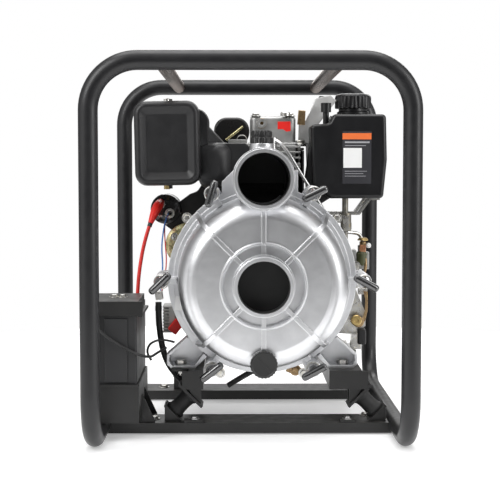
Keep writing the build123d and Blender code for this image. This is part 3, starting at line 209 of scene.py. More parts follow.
    def bump(self, height, depth, strength=1.0):
        """Adds relief of that depth in metres."""
        relief = self.node("ShaderNodeBump")
        relief.inputs["Distance"].default_value = depth
        relief.inputs["Strength"].default_value = strength
        self.links.new(height, relief.inputs["Height"])
        if self.normal:
            self.links.new(self.normal, relief.inputs["Normal"])
        self.normal = relief.outputs["Normal"]
        self.links.new(self.normal, self.shader.inputs["Normal"])


def paint(name, dark, light, roughness, peel=0.00002, dust=0.25):
    """Sprayed or powder-coated paint: orange peel, faint mottling, worn edges and a little dust."""
    surface = Surface(name, roughness, Specular_IOR_Level=0.5)
    mottled = surface.blend(surface.noise(35, 4), dark, light)
    worn = surface.times(surface.edges(0.0008), surface.remap(surface.noise(160, 4), 0.48, 0.62, 0.0, 0.5))
    rubbed = surface.blend(worn, mottled, tuple(min(1, 3.5 * value + 0.03) for value in light))
    dusty = surface.times(surface.upward(), surface.remap(surface.noise(70, 5), 0.4, 0.75, 0.0, dust))
    surface.colour(surface.blend(dusty, rubbed, (0.2, 0.19, 0.17)))
    surface.rough(surface.remap(surface.noise(60, 2), 0.3, 0.7, roughness - 0.04, roughness + 0.06))
    surface.bump(surface.noise(420, 2), peel)
    return surface.material


def casting(name, dark, light, roughness, grit=0.00006):
    """Cast metal: a fine sandy skin over slow waves, with a painted highlight on its rounded edges."""
    surface = Surface(name, roughness, 1.0)
    surface.rounded(0.0016)
    clouds = surface.blend(surface.remap(surface.noise(28, 3), 0.35, 0.65), dark, light)
    # Painted highlight: the base colour is lightened along the sharp edges, standing in for light caught on
    # rounded edges.
    bright = tuple(min(1, value * 1.25) for value in light)
    surface.colour(surface.blend(surface.times(surface.edges(0.0014), 0.6), clouds, bright))
    surface.rough(surface.remap(surface.noise(70, 2), 0.3, 0.7, roughness - 0.03, roughness + 0.05))
    surface.bump(surface.noise(300, 2, 0.5), grit)
    return surface


def pump_casting():
    """The pump's aluminium: satin pan and necks, a rougher rear flange, and painted shade within the two
    bores.
    """
    surface = casting("cast_aluminium", (0.70, 0.705, 0.72), (0.80, 0.805, 0.82), 0.3, 0.00001)
    pan = surface.remap(surface.noise(300, 2, 0.5, (0.15, 0.15, 3.0)), 0.3, 0.7, 0.31, 0.38)
    rear = surface.along_y(-0.155, -0.13)
    neck = surface.remap(surface.along_y(-0.2262, -0.2258), 0, 1, 1, 0)
    surface.rough(surface.mixed(neck, surface.mixed(rear, pan, 0.47), 0.36))
    # Painted shade: within the two port bores the colour goes near black and non-metallic, standing in for
    # the shade deep in the ports.
    painted_bore_shade = surface.either(surface.near_axis(AXIS, 0.0385), surface.near_axis(DISCHARGE, 0.0385))
    skin = surface.shader.inputs["Base Color"].links[0].from_socket
    surface.colour(surface.blend(painted_bore_shade, skin, (0.05, 0.05, 0.05)))
    surface.links.new(surface.remap(painted_bore_shade, 0, 1, 1, 0), surface.shader.inputs["Metallic"])
    return surface.material


def machined(name, dark, light, roughness, lines=2200, stretch=(1, 0.04, 1)):
    """Turned or drawn metal with fine tool lines."""
    surface = Surface(name, roughness, 1.0)
    surface.colour(surface.blend(surface.noise(40, 4), dark, light))
    tool = surface.noise(lines, 2, 0.5, stretch)
    surface.rough(surface.remap(tool, 0.3, 0.7, roughness - 0.07, roughness + 0.1))
    surface.bump(tool, 0.00002)
    return surface.material


def plated(name, dark, light, tint, roughness=0.28):
    """Zinc plating, with its cloudy spangle and a second tint in places."""
    surface = Surface(name, roughness, 1.0)
    cloudy = surface.blend(surface.noise(120, 4), dark, light)
    surface.colour(surface.blend(surface.remap(surface.noise(300, 3), 0.52, 0.68), cloudy, tint))
    surface.rough(surface.remap(surface.noise(160, 2), 0.3, 0.7, roughness - 0.05, roughness + 0.1))
    surface.bump(surface.noise(420, 3), 0.00001)
    return surface.material


def plastic(name, dark, light, roughness, grain_depth=0.00001, grain_scale=900, **settings):
    """Moulded plastic or rubber with a fine grain and slight sink waves."""
    surface = Surface(name, roughness, **settings)
    clouds = surface.blend(surface.noise(25, 3), dark, light)
    dusty = surface.times(surface.upward(0.5), surface.remap(surface.noise(85, 5), 0.45, 0.75, 0.0, 0.2))
    surface.colour(surface.blend(dusty, clouds, (0.22, 0.21, 0.2)))
    surface.rough(surface.remap(surface.noise(50, 2), 0.3, 0.7, roughness - 0.03, roughness + 0.05))
    surface.bump(surface.grain(grain_scale), grain_depth)
    surface.bump(surface.noise(18, 1), 0.0002, 0.4)
    return surface.material


def foam(name):
    surface = Surface(name, 0.9, Sheen_Weight=0.3)
    cells = surface.grain(900)
    surface.colour(surface.blend(surface.remap(cells, 0.1, 0.5), (0.30, 0.25, 0.14), (0.05, 0.04, 0.02)))
    surface.bump(cells, 0.0006)
    return surface.material


MATERIALS = {
    "frame_black": paint("frame_black", (0.007, 0.007, 0.008), (0.012, 0.012, 0.013), 0.36),
    "bed_black": paint("bed_black", (0.007, 0.007, 0.007), (0.014, 0.0135, 0.013), 0.4, dust=0.3),
    "mount_rubber": plastic("mount_rubber", (0.010, 0.010, 0.010), (0.02, 0.02, 0.02), 0.62),
    "zinc_steel": plated("zinc_steel", (0.55, 0.54, 0.52), (0.78, 0.77, 0.74), (0.70, 0.66, 0.55)),
    "battery_case": plastic("battery_case", (0.012, 0.012, 0.013), (0.02, 0.02, 0.021), 0.42),
    "cast_aluminium": pump_casting(),
    "bright_aluminium": casting("bright_aluminium", (0.8, 0.8, 0.79), (0.9, 0.9, 0.89), 0.5).material,
    "engine_aluminium": casting("engine_aluminium", (0.36, 0.36, 0.35), (0.56, 0.56, 0.55), 0.46).material,
    "gasket": plastic("gasket", (0.02, 0.02, 0.02), (0.05, 0.05, 0.045), 0.7),
    "cast_iron": casting("cast_iron", (0.07, 0.068, 0.065), (0.14, 0.135, 0.13), 0.55, 0.0001).material,
    "machined_steel": machined("machined_steel", (0.45, 0.45, 0.45), (0.66, 0.66, 0.65), 0.27),
    "handle_plastic": plastic(
        "handle_plastic", (0.004, 0.004, 0.005), (0.008, 0.008, 0.009), 0.2, IOR=1.9, Coat_Weight=1.0,
        Coat_Roughness=0.08,
    ),
    "cap_plastic": plastic("cap_plastic", (0.010, 0.010, 0.010), (0.018, 0.018, 0.018), 0.36),
    "flap_rubber": plastic("flap_rubber", (0.007, 0.007, 0.007), (0.014, 0.014, 0.014), 0.6),
    "sheet_black": paint("sheet_black", (0.011, 0.011, 0.012), (0.02, 0.02, 0.021), 0.38),
    "muffler_black": paint(
        "muffler_black", (0.006, 0.006, 0.006), (0.012, 0.011, 0.011), 0.3, 0.00003, 0.25,
    ),
    "housing_plastic": plastic("housing_plastic", (0.009, 0.009, 0.010), (0.017, 0.017, 0.018), 0.4),
    "filter_foam": foam("filter_foam"),
    "tank_plastic": plastic("tank_plastic", (0.004, 0.004, 0.005), (0.008, 0.008, 0.009), 0.32),
    "red_plastic": plastic("red_plastic", (0.8, 0.012, 0.01), (0.95, 0.03, 0.02), 0.4),
    "brass_fitting": plated(
        "brass_fitting", (0.45, 0.32, 0.12), (0.68, 0.52, 0.24), (0.36, 0.2, 0.1), 0.34,
    ),
    "starter_steel": paint("starter_steel", (0.012, 0.012, 0.013), (0.022, 0.022, 0.023), 0.36),
    "red_cable": plastic("red_cable", (0.6, 0.015, 0.012), (0.75, 0.03, 0.02), 0.38, 0.00003),
    "black_sleeve": plastic("black_sleeve", (0.009, 0.009, 0.009), (0.018, 0.018, 0.018), 0.45),
    "blue_wire": plastic("blue_wire", (0.04, 0.16, 0.5), (0.07, 0.24, 0.62), 0.4, 0.00002),
    "gloss_black": plastic("gloss_black", (0.006, 0.006, 0.006), (0.012, 0.012, 0.012), 0.12),
    # Near-black material, used only as painted shade in the recoil vents.
    "vent_shade_black": plastic("vent_shade_black", (0.002, 0.002, 0.002), (0.005, 0.005, 0.005), 0.8),
    "red_boot": plastic("red_boot", (0.68, 0.012, 0.01), (0.85, 0.03, 0.02), 0.4, 0.00004),
    "sticker_white": plastic("sticker_white", (0.8, 0.8, 0.79), (0.88, 0.88, 0.87), 0.5),
    "label_ink": plastic("label_ink", (0.018, 0.018, 0.022), (0.03, 0.03, 0.036), 0.5),
    "label_orange": plastic("label_orange", (0.75, 0.14, 0.03), (0.85, 0.2, 0.05), 0.45),
    "label_grey": plastic("label_grey", (0.3, 0.3, 0.32), (0.45, 0.45, 0.47), 0.5),
    "yellow_zinc": plated("yellow_zinc", (0.5, 0.42, 0.2), (0.72, 0.66, 0.4), (0.45, 0.5, 0.3), 0.26),
    "bronze": plated("bronze", (0.3, 0.2, 0.1), (0.5, 0.36, 0.2), (0.22, 0.13, 0.08), 0.36),
    "dark_bronze": plated("dark_bronze", (0.15, 0.1, 0.05), (0.3, 0.2, 0.1), (0.1, 0.06, 0.03), 0.34),
    "dull_steel": plated("dull_steel", (0.16, 0.155, 0.14), (0.34, 0.33, 0.3), (0.24, 0.19, 0.1), 0.36),
    "copper": plated("copper", (0.55, 0.24, 0.12), (0.78, 0.42, 0.26), (0.4, 0.16, 0.08), 0.34),
    "olive_paint": paint("olive_paint", (0.05, 0.055, 0.02), (0.09, 0.095, 0.04), 0.4),
}
STRINGER = machined("stringer_bronze", (0.26, 0.2, 0.17), (0.4, 0.33, 0.29), 0.26, 60)

SLOT_OF = {part["node"]: part["material_slot"] for part in frame["record"]["subparts"]}
for node_name, node_object in NODES.items():
    node_object.data.materials.clear()
    node_object.data.materials.append(MATERIALS[SLOT_OF[node_name]])
NODES["top_stringers"].data.materials[0] = STRINGER
NODES["fuel_tap"].data.materials[0] = MATERIALS["dull_steel"]


# ---- cords ---------------------------------------------------------------------------------------
def cable(label, points_mm, diameter_mm, material_name, node):
    """A cable on one smooth NURBS line through its route, standing for a CAD tube where it has one."""
    data = bpy.data.curves.new(label + "_cable", "CURVE")
    data.dimensions = "3D"
    data.bevel_depth = diameter_mm * MM / 2
    data.bevel_resolution = 6
    data.resolution_u = 12
    data.use_fill_caps = True
    spline = data.splines.new("NURBS")
    spline.points.add(len(points_mm) - 1)
    for point, place in zip(spline.points, points_mm):
        point.co = (*(value * MM for value in place), 1)
    spline.order_u = 3
    spline.use_endpoint_u = True
    piece = bpy.data.objects.new(label + "_cable", data)
    bpy.context.scene.collection.objects.link(piece)
    data.materials.append(MATERIALS[material_name])
    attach(piece, FIXED)
    if node:
        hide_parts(node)
    return piece


CABLE_ROUTE = (
    (-148, 29.7, 352), (-149.5, 15, 350.5), (-152.5, 2, 344.5), (-157, -8, 333.5), (-162, -14, 319),
    (-168, -18, 299), (-173.5, -21, 276), (-177.5, -25, 251), (-180, -29.5, 227), (-181, -33, 204.7),
)
HARNESS_ROUTE = (
    (-146, -48, 196), (-146, -49, 172), (-144, -50, 148), (-140, -50, 122), (-133, -49, 100),
    (-122, -47.5, 82), (-108, -45, 66),
)
GROUND_ROUTE = (
    (-229, -40.3, 200.4), (-230, -58, 200.4), (-232, -85, 200.6), (-233.5, -120, 201), (-234, -150, 201.3),
    (-234, -170, 201.7), (-234.5, -184, 201.7), (-234.5, -194, 198.5), (-233.5, -201.5, 191.5),
    (-231, -205, 181.5), (-224, -205.5, 169), (-208, -204, 155.5), (-190, -201, 144), (-172, -200.5, 134.5),
    (-157, -189, 128), (-150, -169, 125), (-147, -147, 124.5), (-141, -127, 126.5), (-131, -108, 130),
)
BLUE_ROUTE = (
    (-134, 29.5, 336), (-137, 12, 328), (-141, -2, 306), (-143, -12, 280), (-140, -24, 252),
    (-142, -36, 224), (-144.5, -44, 199),
)
SENSE_ROUTE = (
    (-134, 27, 333), (-138, 14, 326), (-139, 4, 310), (-137, -8, 286), (-134, -22, 262),
    (-136, -34, 236), (-143, -44, 202),
)
BRANCH_ROUTE = (
    (-153, -118, 112), (-161, -116, 122), (-157, -113, 137), (-143, -110, 143),
    (-129, -106, 142), (-118, -101, 138),
)
cable("battery_cable", CABLE_ROUTE, 6, "red_cable", "battery_cable")
cable("wiring_harness", HARNESS_ROUTE, 10, "black_sleeve", "wiring_harness")
cable("ground_cable", GROUND_ROUTE, 4, "black_sleeve", "ground_cable")
cable("control_wire", BLUE_ROUTE, 2.4, "blue_wire", "control_wire")


# ---- mesh helpers --------------------------------------------------------------------------------
def mm(*values):
    """A place given in millimetres, in metres."""
    return Vector([value * MM for value in values])


def publish(name, mesh, material_name, body=FIXED, bevel=0.0, node=None, sharp=35):
    """Turns a bmesh in millimetres into a piece on a body, with rounded edges."""
    bmesh.ops.scale(mesh, vec=(MM, MM, MM), verts=mesh.verts)
    bmesh.ops.recalc_face_normals(mesh, faces=mesh.faces)
    data = bpy.data.meshes.new(name)
    mesh.to_mesh(data)
    mesh.free()
    for face in data.polygons:
        face.use_smooth = True
    data.set_sharp_from_angle(angle=radians(sharp))
    piece = bpy.data.objects.new(name, data)
    bpy.context.scene.collection.objects.link(piece)
    if bevel:
        rounding = piece.modifiers.new("rounding", "BEVEL")
        rounding.width = bevel * MM
        rounding.segments = 3
        rounding.angle_limit = radians(30)
        rounding.harden_normals = True
    data.materials.append(MATERIALS[material_name])
    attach(piece, body)
    if node:
        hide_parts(node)
    return piece


def add_ring(mesh, points):
    return [mesh.verts.new(point) for point in points]


def join_rings(mesh, first, second):
    count = len(first)
    for index in range(count):
        after = (index + 1) % count
        mesh.faces.new((first[index], first[after], second[after], second[index]))


def add_lathe(mesh, profile, centre, axis=(0, 0, 1), segments=48, flutes=0, depth=0.0, caps=True):
    """Revolves (radius, along) points about an axis through the centre. Where flutes are asked for, points
    with a third value have their radius scalloped by depth times that value."""
    turn = Vector((0, 0, 1)).rotation_difference(Vector(axis)).to_matrix()
    rings = []
    for radius, along, *scallop in profile:
        ring = []
        for step in range(segments):
            angle = 2 * pi * step / segments
            wave = abs(sin(flutes * angle / 2)) if flutes else 0
            reach = radius - depth * (scallop[0] if scallop else 0) * (1 - wave)
            ring.append(Vector(centre) + turn @ Vector((reach * cos(angle), reach * sin(angle), along)))
        rings.append(add_ring(mesh, ring))
    for first, second in zip(rings, rings[1:]):
        join_rings(mesh, first, second)
    if caps:
        mesh.faces.new(rings[0])
        mesh.faces.new(rings[-1])


def lathe(name, profile, centre, material_name, axis=(0, 0, 1), body=FIXED, node=None, **shape):
    mesh = bmesh.new()
    add_lathe(mesh, profile, centre, axis, **shape)
    return publish(name, mesh, material_name, body, node=node)


def add_block(mesh, low, high, turn=0.0):
    """A box, turned about its middle in the XZ plane by degrees."""
    middle = (Vector(low) + Vector(high)) / 2
    size = Vector(high) - Vector(low)
    turned = Matrix.Translation(middle) @ Matrix.Rotation(radians(-turn), 4, "Y")
    place = turned @ Matrix.Diagonal((*size, 1))
    bmesh.ops.create_cube(mesh, size=1, matrix=place)


def block(name, low, high, material_name, body=FIXED, bevel=1.0, turn=0.0):
    mesh = bmesh.new()
    add_block(mesh, low, high, turn)
    return publish(name, mesh, material_name, body, bevel)


def add_prism(mesh, outline, near, far):
    """An (X, Z) outline carried from one Y to another."""
    first = add_ring(mesh, [Vector((x, near, z)) for x, z in outline])
    second = add_ring(mesh, [Vector((x, far, z)) for x, z in outline])
    join_rings(mesh, first, second)
    mesh.faces.new(first)
    mesh.faces.new(second)


def prism(name, outline, near, far, material_name, body=FIXED, bevel=0.8):
    mesh = bmesh.new()
    add_prism(mesh, outline, near, far)
    return publish(name, mesh, material_name, body, bevel)


def rounded_outline(width, height, corner, x=0.0, z=0.0, tilt=0.0, steps=6):
    """Points round a rectangle with round corners."""
    points = []
    spin = Matrix.Rotation(radians(tilt), 2)
    corners = ((1, 1, 0), (-1, 1, 90), (-1, -1, 180), (1, -1, 270))
    for side_x, side_z, start in corners:
        for step in range(steps + 1):
            angle = radians(start + 90 * step / steps)
            across = side_x * (width / 2 - corner) + corner * cos(angle)
            up = side_z * (height / 2 - corner) + corner * sin(angle)
            turned = spin @ Vector((across, up))
            points.append((x + turned.x, z + turned.y))
    return points


def add_loft(mesh, sections):
    """Joins rounded rectangles (width, height, corner, y, x, z, tilt), front to back; closes both ends."""
    rings = []
    for width, height, corner, y, x, z, tilt in sections:
        outline = rounded_outline(width, height, corner, x, z, tilt)
        rings.append(add_ring(mesh, [Vector((a, y, b)) for a, b in outline]))
    for first, second in zip(rings, rings[1:]):
        join_rings(mesh, first, second)
    mesh.faces.new(rings[0])
    mesh.faces.new(rings[-1])


def rod(name, points, diameter, material_name, body=FIXED, radii=None, smooth=True):
    """A bent rod, pipe or moulded boot along a few points, in millimetres."""
    data = bpy.data.curves.new(name, "CURVE")
    data.dimensions = "3D"
    data.bevel_depth = diameter * MM / 2
    data.bevel_resolution = 5
    data.use_fill_caps = True
    spline = data.splines.new("NURBS" if smooth else "POLY")
    spline.points.add(len(points) - 1)
    for index, point in enumerate(points):
        spline.points[index].co = (*mm(*point), 1)
        spline.points[index].radius = radii[index] if radii else 1.0
    if smooth:
        spline.order_u = 3
        spline.use_endpoint_u = True
    piece = bpy.data.objects.new(name, data)
    bpy.context.scene.collection.objects.link(piece)
    data.materials.append(MATERIALS[material_name])
    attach(piece, body)
    return piece


def add_bolt(mesh, place, axis, across=13.0, height=6.0):
    """A chamfered hexagon head on a washer, standing on a place and pointing along an axis."""
    corner = across / 1.732
    washer = ((across * 0.42, 0), (across * 0.82, 0), (across * 0.82, 1.4), (across * 0.42, 1.5))
    add_lathe(mesh, washer, place, axis)
    profile = ((corner, 1.4), (corner, height - 0.8), (corner * 0.86, height), (corner * 0.5, height + 0.1))
    add_lathe(mesh, profile, place, axis, segments=6)


def bolts(name, places, axis, material_name="zinc_steel", body=FIXED, **shape):
    mesh = bmesh.new()
    for place in places:
        add_bolt(mesh, place, axis, **shape)
    return publish(name, mesh, material_name, body, bevel=0.25)


FRONT = (0, -1, 0)
BACK = (0, 1, 0)
UP = (0, 0, 1)
AXIS_X, AXIS_Z = AXIS.x / MM, AXIS.z / MM
DISCHARGE_Z = DISCHARGE.z / MM
PUMP_FACE_Y = -243.9
SHROUD_BACK_Y = 196
CASE_X = (-62, 108)
RAIL_RADIUS = 14
CROSS_TOP = 18


def box_mm(node):
    """The low and high corners of a node of the CAD, in millimetres."""
    low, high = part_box(node)
    return Vector(low) / MM, Vector(high) / MM


# ---- pump ----------------------------------------------------------------------------------------
NUT_BAR_TILTS = (-28.5, 26, 74, 43.7, 37.6, 28.5)
NUT_CIRCLE_R, NUT_BAR_R, NUT_BAR_HALF = 156, 5.9, 21.2


def handle_nut(number, tilt):
    """A glossy moulded T-bar on a plated sleeve."""
    node = f"handle_nut_{number + 1}"
    body = f"nut_{number + 1}"
    low, high = box_mm(node)
    angle = radians(60 * number)
    x, z = AXIS_X + NUT_CIRCLE_R * cos(angle), AXIS_Z + NUT_CIRCLE_R * sin(angle)
    bar_y = low.y + NUT_BAR_R
    along = Vector((cos(radians(tilt)), 0, sin(radians(tilt))))
    mesh = bmesh.new()
    half = NUT_BAR_HALF
    capsule = [
        (0.4, -half), (2.6, 0.35 - half), (4.6, 1.6 - half), (5.6, 3.8 - half), (NUT_BAR_R, 6.5 - half),
    ]
    profile = capsule + [(radius, -place) for radius, place in reversed(capsule)]
    add_lathe(mesh, profile, (x, bar_y, z), along)
    add_lathe(mesh, ((9.2, 0), (9.8, 4), (8.2, 17), (6.0, 24)), (x, bar_y + 24, z), FRONT)
    publish(f"t_bar_{number + 1}", mesh, "handle_plastic", body, node=node)
    sleeve = ((6.2, 0), (11.3, 0), (11.3, 6), (10.4, 7), (10.4, 12), (6.2, 12.6))
    lathe(f"t_bar_sleeve_{number + 1}", sleeve, (x, high.y - 0.2, z), "zinc_steel", FRONT, body)


for nut_number, nut_tilt in enumerate(NUT_BAR_TILTS):
    handle_nut(nut_number, nut_tilt)

drain_low, drain_high = box_mm("drain_cap")
drain_x, drain_z = (drain_low.x + drain_high.x) / 2, (drain_low.z + drain_high.z) / 2
drain_r = (drain_high.x - drain_low.x) / 2
drain_mesh = bmesh.new()
add_lathe(
    drain_mesh,
    (
        (drain_r - 7, 0), (drain_r - 0.6, 0), (drain_r, 1, 1), (drain_r, 9, 1), (drain_r - 1.2, 10.6),
        (drain_r - 3, 11), (drain_r - 4, 10.2), (drain_r - 12, 9.9), (0.5, 9.8),
    ),
    (drain_x, drain_low.y + 11, drain_z), FRONT, segments=144, flutes=24, depth=0.9,
)
add_block(
    drain_mesh, (drain_x - 14, drain_low.y + 0.2, drain_z - 1.8),
    (drain_x + 14, drain_low.y + 1.5, drain_z + 1.8), -48,
)
publish("drain_cap_grip", drain_mesh, "cap_plastic", "drain_cap", bevel=0.2, node="drain_cap")

fill_low, fill_high = box_mm("filler_cap")
fill_x, fill_y = (fill_low.x + fill_high.x) / 2, (fill_low.y + fill_high.y) / 2
fill_r = (fill_high.x - fill_low.x) / 2
lathe(
    "filler_cap_grip",
    (
        (12, 0), (fill_r, 0), (fill_r, 1.2, 1), (fill_r, 8, 1), (fill_r - 0.8, 9), (fill_r - 2, 9.4),
        (fill_r - 2, 11),
        (fill_r - 1.2, 11.6, 1), (fill_r - 1.4, 17, 1), (fill_r - 3, 18.8), (0.5, 19),
    ),
    (fill_x, fill_y, fill_high.z - 19), "cap_plastic", UP, "filler_cap", "filler_cap", segments=140,
    flutes=20, depth=0.8,
)
THREAD_PITCH, THREAD_ROOT_R, THREAD_CREST_R = 2.31, 43.2, 44.4
for port_name, port_z in (("suction", AXIS_Z), ("discharge", DISCHARGE_Z)):
    ridges = [(THREAD_ROOT_R, 0.8)]
    for turn_number in range(7):
        start = 1.4 + turn_number * THREAD_PITCH
        ridges += [
            (THREAD_ROOT_R, start), (THREAD_CREST_R, start + 0.9),
            (THREAD_CREST_R, start + 1.2), (THREAD_ROOT_R, start + 2.1),
        ]
    lathe(
        f"{port_name}_thread", ridges, (AXIS_X, PUMP_FACE_Y, port_z), "cast_aluminium", BACK, segments=96,
        caps=False,
    )
block("blank_sticker", (-117, -102.9, 188), (-97, -102.2, 210), "sticker_white", bevel=0.2, turn=-6)
case_places = ((-66, -150), (66, -150), (-118, 96), (118, 96))
bolts("case_bolts", [(AXIS_X + x, -88.2, AXIS_Z + z) for x, z in case_places], FRONT, across=10)
prism("drain_bracket", ((58, 86), (66, 94), (78, 95), (84, 90), (82, 84), (68, 82)), -66, -61, "bronze")
bolts("drain_bolt", [(74, -66.5, 88)], FRONT, "bronze", across=11, height=6)


# ---- air cleaner ---------------------------------------------------------------------------------
air_low, air_high = box_mm("air_cleaner_cover")
air_x, air_z = (air_low.x + air_high.x) / 2, (air_low.z + air_high.z) / 2
air_w, air_h = air_high.x - air_low.x - 3, air_high.z - air_low.z - 2.4
air_y = air_low.y
AIR_TILT = 1.2


def air_cover():
    """The clip-on cover: round shoulders, a raised rim and a dished panel with a raised field."""
    mesh = bmesh.new()
    sections = (
        (air_w - 0.5, air_h - 0.5, 20, 30), (air_w, air_h, 20, 26), (air_w, air_h, 20, 12),
        (air_w - 2, air_h - 2, 20, 5.5), (air_w - 6, air_h - 6, 18, 1.6), (air_w - 13, air_h - 13, 15, 0.2),
        (air_w - 19, air_h - 19, 12, 0), (air_w - 21, air_h - 21, 11, 0.7), (air_w - 38, air_h - 41, 5, 4.6),
        (air_w - 40, air_h - 43, 5, 5.0), (air_w - 44, air_h - 47, 4, 4.8), (air_w - 70, air_h - 74, 3, 4.6),
    )
    add_loft(mesh, [(w, h, r, air_y + y, air_x, air_z, AIR_TILT) for w, h, r, y in sections])
    publish("air_cover", mesh, "housing_plastic", node="air_cleaner_cover", sharp=50)


air_cover()
for stud_z, stud_material, name in (
    (air_high.z + 1.5, "zinc_steel", "top"), (air_low.z - 1.5, "brass_fitting", "bottom"),
):
    lathe(f"air_stud_{name}", ((2, -4), (5.2, -4), (5.2, 3), (3, 4)), (air_x - 3, 0, stud_z), stud_material)
inlet = bmesh.new()
add_loft(inlet, (
    (30, 40, 12, -36, -68, 418, 0), (44, 60, 16, -33, -62, 418, 0), (52, 72, 18, -22, -56, 416, 0),
    (60, 76, 18, -6, -52, 415, 0), (60, 76, 18, 8, -50, 415, 0),
))
publish("inlet_elbow", inlet, "housing_plastic", sharp=50)
shoulder = bmesh.new()
add_loft(
    shoulder,
    (
        (46, 70, 18, -30, -90, 470, 0), (50, 76, 20, -26, -90, 469, 0), (50, 76, 20, 34, -90, 469, 0),
        (46, 70, 18, 38, -90, 470, 0),
    ),
)
publish("inlet_shoulder", shoulder, "housing_plastic", sharp=50)


# ---- fuel tank -----------------------------------------------------------------------------------
tank_y = box_mm("fuel_tank")[0].y
cap_low, cap_high = box_mm("tank_cap")
cap_x, cap_y = (cap_low.x + cap_high.x) / 2, (cap_low.y + cap_high.y) / 2
cap_r = (cap_high.x - cap_low.x) / 2
lathe(
    "tank_cap_grip",
    (
        (22, 11.5), (cap_r - 0.8, 11.5), (cap_r, 12.5, 1), (cap_r, 29, 1), (cap_r - 0.8, 32),
        (cap_r - 3, 34.6), (cap_r - 7, 35.8), (cap_r - 9, 35.2), (0.5, 35),
    ),
    (cap_x, cap_y, cap_low.z), "tank_plastic", UP, "tank_cap", "tank_cap",
    segments=176, flutes=22, depth=1.8,
)
lathe(
    "tank_neck_ring", ((23, 0), (26.5, 0), (27, 2), (27, 6), (24, 8)), (cap_x, cap_y, 499), "tank_plastic",
)


def tank_label():
    """A printed panel: dark ground, an orange band, a pale square and plain rules."""
    block("label_ground", (152, tank_y - 0.5, 386), (199, tank_y - 0.1, 471), "label_ink", bevel=0.15)
    block("label_band", (152, tank_y - 0.8, 458), (199, tank_y - 0.45, 468), "label_orange", bevel=0.1)
    block(
        "label_square", (153.5, tank_y - 0.9, 412), (183.5, tank_y - 0.45, 444), "sticker_white",
        bevel=0.15,
    )
    mesh = bmesh.new()
    for row_z, right, height in (
        (452, 196, 2.6), (447.4, 190, 1.0), (406, 192, 0.8), (402, 186, 0.8), (398, 190, 0.8),
    ):
        add_block(mesh, (156, tank_y - 0.8, row_z), (right, tank_y - 0.45, row_z + height))
    publish("label_rules", mesh, "label_grey", bevel=0.05)


tank_label()
seam = bmesh.new()
seam_outline = (
    (103, 386), (133, 361.6), (218, 361.6), (225.4, 425), (223, 499.6), (138, 499.6), (131, 484.5),
    (99.6, 482.5),
)
add_prism(seam, seam_outline, 62, 65)
publish("tank_seam", seam, "tank_plastic", bevel=0.9)
prism(
    "engine_side_cover", ((92, 396), (103, 470), (128, 480), (150, 470), (150, 372), (118, 352), (96, 358)),
    4, 14, "sheet_black", bevel=3,
)
prism(
    "tank_strap_arm",
    ((83, 452), (103, 452), (112, 478), (147, 524), (138, 533), (112, 528), (96, 492), (84, 486)),
    44, 48, "bright_aluminium",
)
prism("strap_tip", ((108, 520), (130, 517), (134, 531), (120, 533)), 58, 64, "housing_plastic", bevel=2)


# ---- head and decompression lever ----------------------------------------------------------------
ROCKER_INSET = 9
rocker_low, rocker_high = box_mm("rocker_cover")
lever_high = box_mm("decompression_lever")[1]
pivot_x, pivot_z = 21.5, 485
lever_mesh = bmesh.new()
add_lathe(
    lever_mesh, ((3, 0), (8.4, 0), (9, 1.2), (9, 5.5), (7.6, 7), (4.5, 7.4), (4.2, 6.4), (0.5, 6.2)),
    (pivot_x, lever_high.y, pivot_z), FRONT,
)
add_prism(lever_mesh, ((24, 489), (50, 485), (50, 476), (22, 480)), lever_high.y - 4.6, lever_high.y - 2)
publish(
    "decompression_arm", lever_mesh, "dark_bronze", "decompression_lever", bevel=0.4,
    node="decompression_lever",
)
prism(
    "decompression_tab", ((47, 488.4), (69.4, 488.8), (69.8, 472), (62, 470.6), (56, 475), (47, 474.6)),
    lever_high.y - 6.2, lever_high.y - 1.2, "red_plastic", "decompression_lever", bevel=1.2,
)
rocker_bolts = [
    (x, y, rocker_high.z - 0.5)
    for x in (rocker_low.x + ROCKER_INSET, rocker_high.x - ROCKER_INSET)
    for y in (rocker_low.y + ROCKER_INSET, rocker_high.y - ROCKER_INSET)
]
bolts("rocker_bolts", rocker_bolts, UP, across=10, height=5)
prism("clip_plate", ((81, 484), (94, 483), (95, 507), (83, 508)), 36, 39, "bronze", bevel=1)
INJECTOR_X, INJECTOR_Y = 84, 26
for disc_number, (disc_z, disc_r) in enumerate(((453, 9), (447.5, 11.5), (441, 8))):
    lathe(
        f"injector_disc_{disc_number}",
        ((2, 0), (disc_r - 0.6, 0), (disc_r, 0.8), (disc_r, 3.4), (disc_r - 0.6, 4.2)),
        (INJECTOR_X, INJECTOR_Y, disc_z), "zinc_steel",
    )
lathe(
    "injector_column", ((3, 0), (3.6, 1), (3.6, 20), (5.5, 21), (5.5, 26)), (INJECTOR_X, INJECTOR_Y, 417),
    "machined_steel",
)
lathe("head_cap_bolt", ((3, 0), (8, 0), (8, 5), (7, 6), (4, 6.2)), (60, rocker_low.y, 497), "zinc_steel")


# ---- choke lever and muffler ---------------------------------------------------------------------
muff_low, muff_high = box_mm("muffler")
rod(
    "choke_lever", [(-38, muff_low.y - 2, 460), (-28, muff_low.y - 4, 468), (-9, muff_low.y - 3, 483)], 5.4,
    "yellow_zinc",
)
SPRING_X, SPRING_Z, SPRING_TURNS = -11, 462, 2
spring_points = [
    (
        SPRING_X + 8.5 * cos(radians(step)), muff_low.y - 4 + 0.004 * step,
        SPRING_Z + 6.5 * sin(radians(step)),
    )
    for step in range(0, 360 * SPRING_TURNS + 1, 30)
]
rod("choke_spring", spring_points, 1.8, "zinc_steel")
muff_rim = bmesh.new()
for rim_y in (muff_low.y + 12, muff_high.y - 14):
    outline = rounded_outline(61.6, 48.6, 22.6, (muff_low.x + muff_high.x) / 2, 475)
    add_prism(muff_rim, outline, rim_y, rim_y + 2.5)
publish("muffler_rims", muff_rim, "muffler_black", bevel=0.8)


